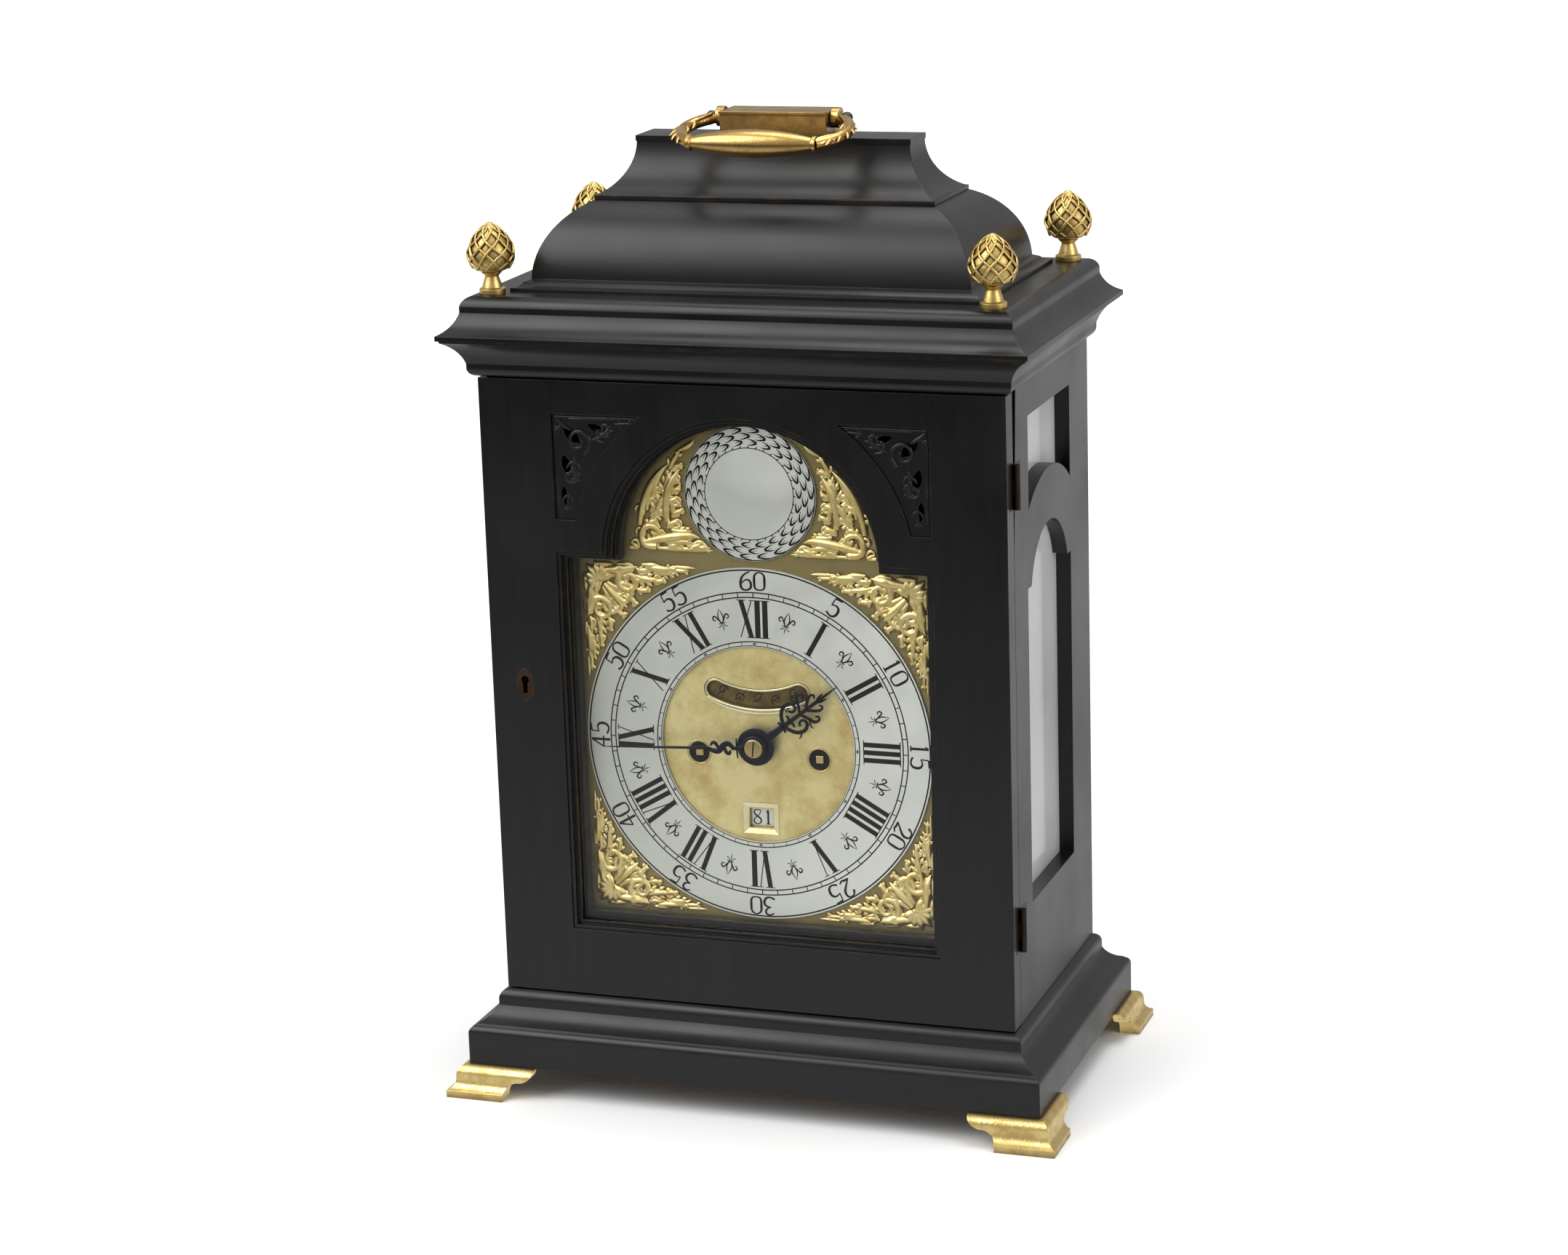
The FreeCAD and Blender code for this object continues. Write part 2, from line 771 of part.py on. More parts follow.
def handle_plinth_cap():
    half_length = plinth_block_length / 2 + plinth_cap_end_overhang
    half_depth = plinth_block_depth / 2 + plinth_cap_overhang
    low = bell_cap_top + plinth_block_height
    return box(-half_length, half_length, -half_depth, half_depth, low, low + plinth_cap_thickness)


def handle_pins():
    inner = plinth_block_length / 2 - handle_pin_seat
    ball_x = plinth_block_length / 2 + handle_ear_thickness + 2 * side_clearance + handle_ball_radius
    shank = rod_x(0, handle_pivot_z, handle_pin_radius, inner, ball_x)
    ball = Part.makeSphere(handle_ball_radius, Vector(ball_x, 0, handle_pivot_z))
    right = fuse([shank, ball])
    return group([right, mirrored_x(right)])


def carry_handle():
    """Built lying flat toward -Y, then dropped to its resting angle about the pins."""
    ear_x0 = plinth_block_length / 2 + side_clearance
    ear_x1 = ear_x0 + handle_ear_thickness
    ear_middle = (ear_x0 + ear_x1) / 2
    half_grip = handle_grip_length / 2
    grip_steps = [(0, -half_grip), (handle_grip_end_radius + 0.8, -half_grip),
                  (handle_grip_end_radius + 0.8, -half_grip + 1.6), (handle_grip_end_radius, -half_grip + 2.2),
                  (handle_grip_radius, 0, handle_grip_end_radius, half_grip - 2.2),
                  (handle_grip_end_radius + 0.8, half_grip - 1.6), (handle_grip_end_radius + 0.8, half_grip),
                  (0, half_grip)]
    grip = turned(grip_steps, Vector(0, -handle_reach, 0), Vector(1, 0, 0), Vector(0, 0, 1))
    start = Vector(half_grip - 0.8, -handle_reach, 0)
    middle = Vector(handle_arm_spread - handle_arm_radius, -handle_reach / 2 - 3.0, 0)
    end = Vector(ear_middle, -1.0, 0)
    path = Part.Arc(start, middle, end)
    section = Part.Wire([Part.makeCircle(handle_arm_radius, start, path.tangent(path.FirstParameter)[0])])
    arm = Part.Wire([path.toShape()]).makePipeShell([section], True, True)
    ear = rod_x(0, 0, handle_ear_radius, ear_x0, ear_x1)
    bore = rod_x(0, 0, handle_pin_radius + pin_clearance, ear_x0 - 5, ear_x1 + 12)
    tall = 2 * handle_ear_radius
    over_block = box(-far, ear_x0, -1.5 * handle_ear_radius, tall, -tall, tall)
    over_ball = box(ear_x1, far, -handle_ear_radius, tall, -tall, tall)
    right = ear.fuse(arm.cut(over_block)).cut(bore).cut(over_ball)
    handle = grip.fuse(right).fuse(mirrored_x(right))
    handle.rotate(Vector(0, 0, 0), Vector(1, 0, 0), handle_droop_deg)
    handle.translate(Vector(0, 0, handle_pivot_z))
    return handle


# ---------------------------------------------------------------- front door
def opening_steps(grow):
    """The glazed opening's outline, grown outward (or shrunk if negative) by an amount."""
    w = opening_half_width + grow
    low = opening_bottom - grow
    shoulder = opening_shoulder + grow
    r = arch_radius + grow
    foot = math.sqrt(r**2 - (shoulder - arch_centre_height)**2)
    return [(-w, low), (w, low), (w, shoulder), (foot, shoulder),
            (0, arch_centre_height + r, -foot, shoulder), (-w, shoulder)]


def fret_prism(side, depth0, depth1):
    """The three-cornered opening beside the arch, its long side parallel to the arch."""
    r = arch_radius + fret_margin
    top_x = math.sqrt(r**2 - (fret_top - arch_centre_height)**2)
    low_x = math.sqrt(r**2 - (fret_bottom - arch_centre_height)**2)
    low_turn = math.atan2(fret_bottom - arch_centre_height, low_x)
    top_turn = math.atan2(fret_top - arch_centre_height, top_x)
    middle = (low_turn + top_turn) / 2
    mid_x = r * math.cos(middle)
    mid_z = arch_centre_height + r * math.sin(middle)
    steps = [(side * mid_x, mid_z, side * top_x, fret_top), (side * fret_corner, fret_top),
             (side * fret_corner, fret_bottom), (side * low_x, fret_bottom)]
    return prism_y(steps, depth0, depth1)


def keyhole_cut(depth0, depth1):
    hole = rod_y(keyhole_x, keyhole_height + 1.6, keyhole_radius, depth0, depth1)
    slot = slab(keyhole_x - keyhole_slot_width / 2, keyhole_x + keyhole_slot_width / 2, depth0, depth1,
                keyhole_height + 1.6 - keyhole_slot_length, keyhole_height + 1.6)
    return hole.fuse(slot)


def escutcheon_oval(depth0, depth1, grow=0.0):
    oval = rod_y(0, 0, 1.0, depth0, depth1)
    stretch = FreeCAD.Matrix()
    stretch.scale(escutcheon_half_width + grow, 1, escutcheon_half_height + grow)
    oval = oval.transformGeometry(stretch)
    oval.translate(Vector(keyhole_x, 0, keyhole_height - 0.6))
    return oval


def door_frame():
    """Two stiles with a top and a bottom rail between them."""
    w = opening_half_width
    low = opening_bottom
    shoulder = opening_shoulder
    stile = slab(w, half_w, 0, door_thickness, door_bottom, door_top)
    right = stile
    for height in (lower_hinge_height, upper_hinge_height):
        right = right.cut(hinge_recess(half_w, door_thickness - hinge_leaf_on_door, door_thickness, height))
    left = mirrored_x(stile).cut(keyhole_cut(-1, door_thickness + 1))
    left = left.cut(escutcheon_oval(-1, escutcheon_thickness))
    bottom = slab(-w, w, 0, door_thickness, door_bottom, low)
    top = slab(-w, w, 0, door_thickness, shoulder, door_top)
    top = top.cut(prism_y(opening_steps(0), -1, door_thickness + 1))
    for side in (-1, 1):
        top = top.cut(fret_prism(side, -past, door_thickness + past))
    return group([left, right, bottom, top])


def glazing_bead():
    """The moulding round the glazed opening, hollowed in a slope toward the glass."""
    depth0 = bead_setback
    depth1 = front_glass_depth
    ring = prism_y(opening_steps(0), depth0, depth1)
    ring = ring.cut(prism_y(opening_steps(-bead_width), depth0 - past, depth1 + past))
    cut_depth = (depth1 - depth0) * 0.55
    hollow = prism_y(opening_steps(-bead_width * 0.5), depth0 - 1, depth0 + cut_depth)
    return ring.cut(hollow)


def door_glass():
    depth0 = front_glass_depth
    return prism_y(opening_steps(-slack), depth0, depth0 + glass_thickness)


def glazing_strip():
    """Strip behind the glass that holds it in the door."""
    depth0 = front_glass_depth + glass_thickness
    depth1 = door_thickness
    outer = prism_y(opening_steps(0), depth0, depth1)
    return outer.cut(prism_y(opening_steps(-bead_width), depth0 - 1, depth1 + 1))


def leaf_cut(x, z, length, width, slope):
    """A leaf-shaped opening between two arcs, its long way at a slope to the horizontal."""
    half = length / 2
    leaf = prism_y([(0, -width / 2, -half, 0), (0, width / 2, half, 0)], 0, door_thickness)
    leaf.rotate(Vector(0, 0, 0), Vector(0, 1, 0), -slope)
    leaf.translate(Vector(x, 0, z))
    return leaf


def door_frets():
    """Thin pierced panels in the corners beside the arch."""
    panels = []
    for side in (-1, 1):
        panel = fret_prism(side, fret_setback, fret_setback + fret_thickness)
        for inward, drop, length, width, slope in fret_piercings:
            x = side * (fret_corner - inward)
            panel = panel.cut(leaf_cut(x, fret_top - drop, length, width, side * slope))
        panels.append(panel)
    return group(panels)


def escutcheon():
    oval = escutcheon_oval(0, escutcheon_thickness)
    return oval.cut(keyhole_cut(-1, escutcheon_thickness + 1))


def lock_place():
    """Left edge, right edge, bottom and top of the lock on the back of the door."""
    x0 = -inner_x + 0.8
    return x0, x0 + lock_width, keyhole_height - lock_height / 2, keyhole_height + lock_height / 2


def bolt_channel(clearance, length):
    x0, _, _, _ = lock_place()
    middle = door_thickness + lock_thickness / 2
    half_depth = bolt_thickness / 2 + clearance
    half_height = bolt_height / 2 + clearance
    return slab(x0, x0 + length, middle - half_depth, middle + half_depth,
                keyhole_height - half_height, keyhole_height + half_height)


def lock_case():
    x0, x1, z0, z1 = lock_place()
    case = slab(x0, x1, door_thickness, door_thickness + lock_thickness, z0, z1)
    return case.cut(bolt_channel(slack, bolt_length + bolt_travel))


def lock_bolt():
    return bolt_channel(0, bolt_length)


def hinge_set(x, depth, lows, leaf_on_case, leaf_on_door, case_away, door_away):
    """Hinges with a three-part knuckle: the case holds the two ends and the pin, the door the middle."""
    third = hinge_height / 3
    case_side = []
    door_side = []
    for low in lows:
        pin = rod_z(x, y_at(depth), hinge_pin_radius, low, low + hinge_height)
        bore = rod_z(x, y_at(depth), hinge_pin_radius + pin_clearance, low + third, low + 2 * third)
        end_a = rod_z(x, y_at(depth), hinge_knuckle_radius, low, low + third - pin_clearance)
        end_b = rod_z(x, y_at(depth), hinge_knuckle_radius, low + 2 * third + pin_clearance, low + hinge_height)
        middle = rod_z(x, y_at(depth), hinge_knuckle_radius, low + third, low + 2 * third).cut(bore)
        case_side.append(fuse([pin, end_a, end_b, case_away(low, low + third - pin_clearance),
                               case_away(low + 2 * third + pin_clearance, low + hinge_height),
                               leaf_on_case(low)]))
        door_side.append(middle.fuse(door_away(low + third, low + 2 * third)).fuse(leaf_on_door(low)))
    return case_side, door_side


def front_hinges():
    """Leaves let into the case's side and the door's edge, knuckles outside the corner."""
    inner = half_w - hinge_leaf_thickness
    split = front_hinge_depth
    reach = hinge_leaf_on_case + case_front_depth
    opened = case_front_depth

    def leaf_on_case(low):
        return slab(inner, half_w, opened, reach, low, low + hinge_height)

    def leaf_on_door(low):
        return slab(inner, half_w, door_thickness - hinge_leaf_on_door, door_thickness, low, low + hinge_height)

    def case_away(z0, z1):
        return slab(inner, hinge_x, opened, opened + hinge_leaf_thickness, z0, z1)

    def door_away(z0, z1):
        piece = slab(inner, hinge_x, door_thickness - hinge_leaf_thickness, door_thickness, z0, z1)
        return piece.cut(rod_z(hinge_x, y_at(split), hinge_pin_radius + pin_clearance, z0 - 1, z1 + 1))

    return hinge_set(hinge_x, split, (lower_hinge_height, upper_hinge_height),
                     leaf_on_case, leaf_on_door, case_away, door_away)


def back_hinges():
    """Leaves on the rear faces of the side panel and of the rear door."""
    jamb = back_hinge_x
    clear = hinge_knuckle_radius + slack
    leaf = back_hinge_leaf
    depth0 = case_depth
    depth1 = case_depth + hinge_leaf_thickness

    def leaf_on_case(low):
        return slab(jamb + clear, jamb + leaf, depth0, depth1, low, low + hinge_height)

    def leaf_on_door(low):
        return slab(jamb - leaf, jamb - clear, depth0, depth1, low, low + hinge_height)

    def case_away(z0, z1):
        return slab(jamb, jamb + leaf, depth0, depth1, z0, z1)

    def door_away(z0, z1):
        piece = slab(jamb - leaf, jamb, depth0, depth1, z0, z1)
        return piece.cut(rod_z(jamb, y_at(back_hinge_depth), hinge_pin_radius + pin_clearance, z0 - 1, z1 + 1))

    return hinge_set(jamb, back_hinge_depth, back_hinge_heights,
                     leaf_on_case, leaf_on_door, case_away, door_away)


# ---------------------------------------------------------------- back door
def back_door_extent():
    half = inner_x - flush_gap
    return half, back_door_bottom, back_door_top


def back_door():
    half, low, high = back_door_extent()
    door = slab(-half, half, back_door_depth, back_door_depth + back_door_thickness, low, high)
    f = back_frame_width
    sight = slab(-half + f, half - f, back_door_depth - 1, back_door_depth + back_door_thickness + 1,
                 low + f, high - f)
    g = f - back_glass_rebate
    rebate = slab(-half + g, half - g, back_door_depth - past, back_door_depth + back_glass_setback,
                  low + g, high - g)
    return door.cut(sight).cut(rebate)


def back_door_glass():
    half, low, high = back_door_extent()
    edge = back_frame_width - back_glass_rebate + slack
    depth1 = back_door_depth + back_glass_setback
    return slab(-half + edge, half - edge, depth1 - glass_thickness, depth1, low + edge, high - edge)


# ---------------------------------------------------------------- dial
def dial_steps(grow):
    """The dial plate's outline: a square with a break arch above it."""
    half = dial_width / 2 + grow
    low = dial_centre_height - half
    high = dial_centre_height + half
    r = arch_radius + grow
    foot = math.sqrt(r**2 - (high - arch_centre_height)**2)
    return [(-half, low), (half, low), (half, high), (foot, high),
            (0, arch_centre_height + r, -foot, high), (-half, high)]


def dial_mask():
    """Thin frame between the door and the dial that hides the dial plate's edges."""
    depth0 = case_front_depth + mask_setback
    depth1 = depth0 + mask_thickness
    body = slab(-inner_x, inner_x, depth0, depth1, body_bottom, body_top)
    body = body.cut(prism_y(dial_steps(-mask_reveal), depth0 - 1, depth1 + 1))
    x0, x1, z0, z1 = lock_place()
    return body.cut(slab(-inner_x - 1, x1 + 1.0, depth0 - 1, depth1 + 1, z0 - 1.0, z1 + 1.0))


def mock_slot(grow, depth0, depth1):
    """The curved opening, an arc about the pallet arbor, with round ends."""
    outer = slot_radius + slot_half_height + grow
    inner = slot_radius - slot_half_height - grow
    angle = math.radians(slot_half_angle_deg)
    centre = pallet_height
    end_r = slot_half_height + grow

    def at(radius, turn):
        return (radius * math.sin(turn), centre - radius * math.cos(turn))

    swing = angle + end_r / slot_radius
    steps = [at(inner, 0) + at(inner, -angle), at(slot_radius, -swing) + at(outer, -angle),
             at(outer, 0) + at(outer, angle), at(slot_radius, swing) + at(inner, angle)]
    return prism_y(steps, depth0, depth1)


def dial_plate():
    depth0 = dial_depth
    depth1 = dial_depth + dial_plate_thickness
    plate = prism_y(dial_steps(0), depth0, depth1)
    plate = plate.cut(mock_slot(0, depth0 - 1, depth1 + 1))
    plate = plate.cut(mock_slot(1.0, depth0 - 1, depth0 + 0.8))
    plate = plate.cut(rod_y(0, dial_centre_height, hour_pipe_radius + 0.6, depth0 - 1, depth1 + 1))
    for x in (-winding_offset, winding_offset):
        plate = plate.cut(rod_y(x, winding_height, winding_hole_radius, depth0 - 1, depth1 + 1))
    plate = plate.cut(date_window(0, depth0 - 1, depth1 + 1))
    plate = plate.cut(date_window(date_window_bevel, depth0 - 1, depth0 + 0.7))
    stud = rod_y(0, date_disc_height, date_stud_radius, depth1, depth1 + slack + date_disc_thickness + 0.6)
    head_depth = depth1 + 2 * slack + date_disc_thickness
    head = rod_y(0, date_disc_height, date_stud_radius + date_stud_head, head_depth,
                 head_depth + date_stud_head_thickness)
    return fuse([plate, stud.fuse(head)])


def date_window(grow, depth0, depth1):
    middle = dial_centre_height - date_window_drop
    half_w_window = date_window_width / 2 + grow
    half_h_window = date_window_height / 2 + grow
    return slab(-half_w_window, half_w_window, depth0, depth1, middle - half_h_window, middle + half_h_window)


def date_disc():
    depth0 = dial_depth + dial_plate_thickness + slack
    depth1 = depth0 + date_disc_thickness
    module = 2 * date_disc_radius / date_teeth
    disc = gear(date_teeth, module, 0, date_disc_height, depth0, depth1, 0, 0.5, 0.9, 0.25, 0.55)
    return disc.cut(rod_y(0, date_disc_height, date_stud_radius + pin_clearance, depth0 - 1, depth1 + 1))


def slot_backing():
    """Engraved plate behind the curved opening."""
    depth0 = dial_depth + dial_plate_thickness
    return mock_slot(2.6, depth0, depth0 + 1.2)


def chapter_ring():
    depth0 = dial_depth - chapter_thickness
    ring = rod_y(0, dial_centre_height, chapter_outer_radius, depth0, dial_depth)
    return ring.cut(rod_y(0, dial_centre_height, chapter_inner_radius, depth0 - 1, dial_depth + 1))


def dial_boss():
    dome_radius = (boss_radius**2 + boss_dome**2) / (2 * boss_dome)
    half_angle = math.asin(boss_radius / dome_radius) / 2
    crown = -boss_edge_thickness - boss_dome
    middle = (dome_radius * math.sin(half_angle), crown + dome_radius * (1 - math.cos(half_angle)))
    steps = [(0, 0), (boss_radius, 0), (boss_radius, -boss_edge_thickness), middle + (0, crown)]
    return turned_y(steps, 0, boss_centre_height, dial_depth)


def corner_castings():
    """Four castings that fill the corners between the chapter ring and the dial's edges."""
    half = dial_width / 2 - mask_reveal - casting_margin
    keep = chapter_outer_radius + casting_margin
    castings = []
    for sx in (-1, 1):
        for sz in (-1, 1):
            x0 = min(0, sx * half)
            z0 = dial_centre_height + min(0, sz * half)
            block = slab(x0, x0 + half, dial_depth - casting_thickness, dial_depth, z0, z0 + half)
            block = block.cut(rod_y(0, dial_centre_height, keep, 0, dial_depth + 1))
            reach = math.sqrt(keep**2 - (half - casting_tip)**2)
            tip_x = slab(-reach, reach, 0, dial_depth + 1, z0 - 1, z0 + half + 1)
            tip_z = slab(x0 - 1, x0 + half + 1, 0, dial_depth + 1,
                         dial_centre_height - reach, dial_centre_height + reach)
            castings.append(block.cut(tip_x).cut(tip_z))
    return group(castings)


def arch_castings():
    """Two castings between the round boss and the arch of the dial."""
    r = arch_radius - mask_reveal - casting_margin
    low = arch_centre_height + 1.6
    keep = boss_radius + casting_margin + 0.6
    disc = rod_y(0, arch_centre_height, r, dial_depth - casting_thickness, dial_depth)
    both = disc.cut(rod_y(0, boss_centre_height, keep, 0, dial_depth + 1))
    both = both.cut(slab(-r - 1, r + 1, 0, dial_depth + 1, arch_centre_height - r - 1, low))
    middle = 11.0
    left = both.common(slab(-r - 1, -middle, 0, dial_depth + 1, low - 1, arch_centre_height + r + 1))
    return group([left, mirrored_x(left)])


def dial_feet():
    depth0 = dial_depth + dial_plate_thickness
    return [rod_y(x, z, dial_foot_radius, depth0, front_plate_depth) for x, z in pillar_places()]


# ---------------------------------------------------------------- movement frame
def pillar_places():
    x = plate_half_width - pillar_inset
    return [(-x, plate_bottom + pillar_inset), (x, plate_bottom + pillar_inset),
            (-x, plate_top - pillar_inset), (x, plate_top - pillar_inset)]


def arbor_holes(plate, depth0, depth1):
    through = [(0, dial_centre_height, centre_arbor_radius),
               (winding_offset, winding_height, fusee_arbor_radius),
               (-winding_offset, winding_height, fusee_arbor_radius),
               (barrel_x, barrel_height, barrel_arbor_radius),
               (-barrel_x, barrel_height, barrel_arbor_radius),
               (third_x, third_height, arbor_radius),
               (0, escape_height, arbor_radius),
               (hammer_pivot_x, hammer_pivot_height, arbor_radius),
               (0, pallet_height, pallet_arbor_radius)]
    for x, z, radius in through:
        plate = plate.cut(rod_y(x, z, radius + pin_clearance, depth0 - 1, depth1 + 1))
    return plate


def front_plate():
    depth0 = front_plate_depth
    depth1 = depth0 + plate_thickness
    plate = slab(-plate_half_width, plate_half_width, depth0, depth1, plate_bottom, plate_top)
    plate = arbor_holes(plate, depth0, depth1)
    stud_depth = minute_pinion_depth - side_clearance
    stud = rod_y(0, dial_centre_height + motion_distance, minute_stud_radius, stud_depth, depth0)
    return plate.fuse(stud)


def back_plate():
    depth0 = back_plate_depth
    depth1 = depth0 + plate_thickness
    plate = slab(-plate_half_width, plate_half_width, depth0, depth1, plate_bottom, plate_top)
    plate = arbor_holes(plate, depth0, depth1)
    return plate.cut(rod_y(0, pallet_height, pallet_arbor_radius + 1.2, depth0 - 1, depth1 + 1))


def movement_pillars():
    depth0 = front_plate_depth + plate_thickness
    pillars = []
    for x, z in pillar_places():
        length = back_plate_depth - depth0
        r = pillar_radius
        waist = r - pillar_waist
        foot = pillar_foot
        mid = length / 2
        steps = [(0, 0), (r, 0), (r, foot), (waist, foot * 1.5), (waist, mid - foot), (r, mid - foot / 2),
                 (r, mid + foot / 2), (waist, mid + foot), (waist, length - foot * 1.5), (r, length - foot),
                 (r, length), (0, length)]
        pillars.append(turned_y(steps, x, z, depth0))
    return group(pillars)


def seat_board():
    return slab(-inner_x, inner_x, front_plate_depth - seat_overhang_front, seat_rear,
                plate_bottom - seat_board_thickness, plate_bottom)


def seat_cleats():
    z1 = plate_bottom - seat_board_thickness
    right = slab(inner_x - seat_cleat, inner_x, front_plate_depth - seat_overhang_front, seat_rear,
                 z1 - seat_cleat, z1)
    return [right, mirrored_x(right)]


def pendulum_cock():
    """Bracket on the back plate that carries the rear end of the pallet arbor."""
    depth0 = back_plate_depth + plate_thickness
    half = cock_half_width
    z0 = pallet_height - cock_half_height
    z1 = pallet_height + cock_half_height
    bar = slab(-half, half, cock_depth, cock_depth + cock_thickness, z0, z1)
    right = slab(half - cock_leg, half, depth0, cock_depth, z0, z1)
    legs = [right, mirrored_x(right)]
    bar = bar.cut(rod_y(0, pallet_height, pallet_arbor_radius + pin_clearance, cock_depth - 1,
                        cock_depth + cock_thickness + 1))
    return fuse([bar] + legs)


# ---------------------------------------------------------------- motion work and hands
def hand_angle_minutes():
    return math.radians(90 - 6 * time_minutes)


def hand_angle_hours():
    return math.radians(90 - 30 * (time_hours + time_minutes / 60))


def hand(length, tail, hub_radius, widths, depth, angle, bore):
    """A flat pointer: a hub and a tapering blade, drawn pointing along +X, then turned to its angle."""
    upper = [(along * length, half) for along, half in widths]
    lower = [(a, -b) for a, b in reversed(upper)]
    blade = prism_y([(-tail, 0.0)] + upper + lower, depth, depth + hand_thickness)
    hub = rod_y(0, 0, hub_radius, depth, depth + hand_thickness)
    shape = blade.fuse(hub).cut(rod_y(0, 0, bore, depth - 1, depth + hand_thickness + 1))
    shape.rotate(Vector(0, 0, 0), Vector(0, 1, 0), -math.degrees(angle))
    shape.translate(Vector(0, 0, dial_centre_height))
    return shape


def minute_hand():
    widths = [(0.04, 2.2), (0.12, 3.0), (0.2, 1.6), (0.3, 1.1), (0.6, 0.8), (1.0, 0.25)]
    return hand(minute_hand_length, minute_hand_tail, minute_hub_radius, widths, minute_hand_depth,
                hand_angle_minutes(), cannon_radius)


def hour_hand():
    widths = [(0.1, 2.4), (0.3, 5.0), (0.5, 8.0), (0.62, 6.0), (0.72, 3.0), (0.8, 1.4), (1.0, 0.3)]
    return hand(hour_hand_length, minute_hand_tail, hour_hub_radius, widths, hour_hand_depth,
                hand_angle_hours(), hour_pipe_radius)


def hand_collet():
    """Domed washer in front of the minute hand."""
    depth1 = minute_hand_depth
    flat = collet_radius * 0.35
    steps = [(0, 0), (collet_radius, 0), (collet_radius * 0.75, -collet_height * 0.7, flat, -collet_height),
             (0, -collet_height)]
    return turned_y(steps, 0, dial_centre_height, depth1)


def cannon_wheel():
    depth0 = minute_hand_depth
    depth1 = front_plate_depth - 2 * slack
    pipe = rod_y(0, dial_centre_height, cannon_radius, depth0, depth1)
    toward = math.radians(90)
    wheel = pinion(cannon_teeth, cannon_module, 0, dial_centre_height, cannon_wheel_depth,
                   cannon_wheel_depth + cannon_wheel_length, toward)
    bore = rod_y(0, dial_centre_height, centre_arbor_radius + pin_clearance, depth0, depth1 + 1)
    return fuse([pipe, wheel]).cut(bore)


def hour_wheel():
    depth0 = hour_hand_depth
    wheel_end = hour_wheel_depth + motion_wheel_thickness
    pipe = rod_y(0, dial_centre_height, hour_pipe_radius, depth0, wheel_end)
    toward = math.radians(90)
    wheel = gear(hour_wheel_teeth, hour_module, 0, dial_centre_height, hour_wheel_depth, wheel_end, toward)
    rim = hour_wheel_teeth * hour_module / 2 - wheel_rim
    hub = hour_pipe_radius + wheel_hub
    wheel = crossed(wheel, 0, dial_centre_height, rim, hub, hour_wheel_depth, wheel_end)
    bore = rod_y(0, dial_centre_height, cannon_radius + pin_clearance, depth0 - past, wheel_end + past)
    return fuse([pipe, wheel]).cut(bore)


def minute_wheel():
    x = 0
    z = dial_centre_height + motion_distance
    toward = math.radians(-90)
    depth0 = minute_wheel_depth
    depth1 = depth0 + motion_wheel_thickness
    wheel = gear(minute_wheel_teeth, cannon_module, x, z, depth0, depth1, gap_phase(minute_wheel_teeth, toward))
    rim = minute_wheel_teeth * cannon_module / 2 - wheel_rim
    leaf_radius = minute_pinion_teeth * hour_module / 2
    wheel = crossed(wheel, x, z, rim, leaf_radius + 1.0, depth0, depth1)
    small = pinion(minute_pinion_teeth, hour_module, x, z, minute_pinion_depth, depth0,
                   gap_phase(minute_pinion_teeth, toward))
    bore = rod_y(x, z, minute_stud_radius + pin_clearance, minute_pinion_depth - past, depth1 + past)
    return fuse([wheel, small]).cut(bore)


# ---------------------------------------------------------------- going and strike power
def fusee(x, wheel_depth, phase):
    z = winding_height
    length = fusee_end_depth - fusee_start_depth
    pitch = length / fusee_turns
    steps = [(0, 0), (fusee_large_radius, 0)]
    for i in range(fusee_turns):
        share = (i + 0.5) / fusee_turns
        radius = fusee_large_radius + (fusee_small_radius - fusee_large_radius) * math.sqrt(share)
        start = i * pitch
        steps += [(radius, start + pitch * 0.1), (radius - 1.0, start + pitch * 0.35),
                  (radius - 1.0, start + pitch * 0.65), (radius, start + pitch * 0.9)]
    steps += [(fusee_small_radius, length), (0, length)]
    cone = turned_y(steps, x, z, fusee_start_depth)
    wheel_end = wheel_depth + great_wheel_thickness
    wheel = gear(great_wheel_teeth, great_module, x, z, wheel_depth, wheel_end, phase)
    hub = rod_y(x, z, fusee_arbor_radius + wheel_hub, wheel_depth, fusee_start_depth)
    square_depth = dial_depth + winding_square_setback
    arbor_depth = square_depth + winding_square_length
    arbor = rod_y(x, z, fusee_arbor_radius, arbor_depth, arbor_end + past)
    half = fusee_arbor_radius * math.sqrt(0.5)
    square = slab(x - half, x + half, square_depth, arbor_depth, z - half, z + half)
    return fuse([cone, wheel, hub, arbor, square])


def going_fusee():
    toward = angle_to(winding_offset, winding_height, 0, dial_centre_height)
    return fusee(winding_offset, going_wheel_depth, toward)


def strike_fusee():
    return fusee(-winding_offset, strike_wheel_depth, 0.0)


def barrel(x):
    z = barrel_height
    drum = rod_y(x, z, barrel_radius, fusee_start_depth, fusee_end_depth)
    cap = barrel_cap_thickness
    cap_radius = barrel_radius + barrel_cap_overhang
    caps = [rod_y(x, z, cap_radius, fusee_start_depth - cap, fusee_start_depth),
            rod_y(x, z, cap_radius, fusee_end_depth, fusee_end_depth + cap)]
    arbor = rod_y(x, z, barrel_arbor_radius, front_plate_depth - past, arbor_end + past)
    return fuse([drum, arbor] + caps)


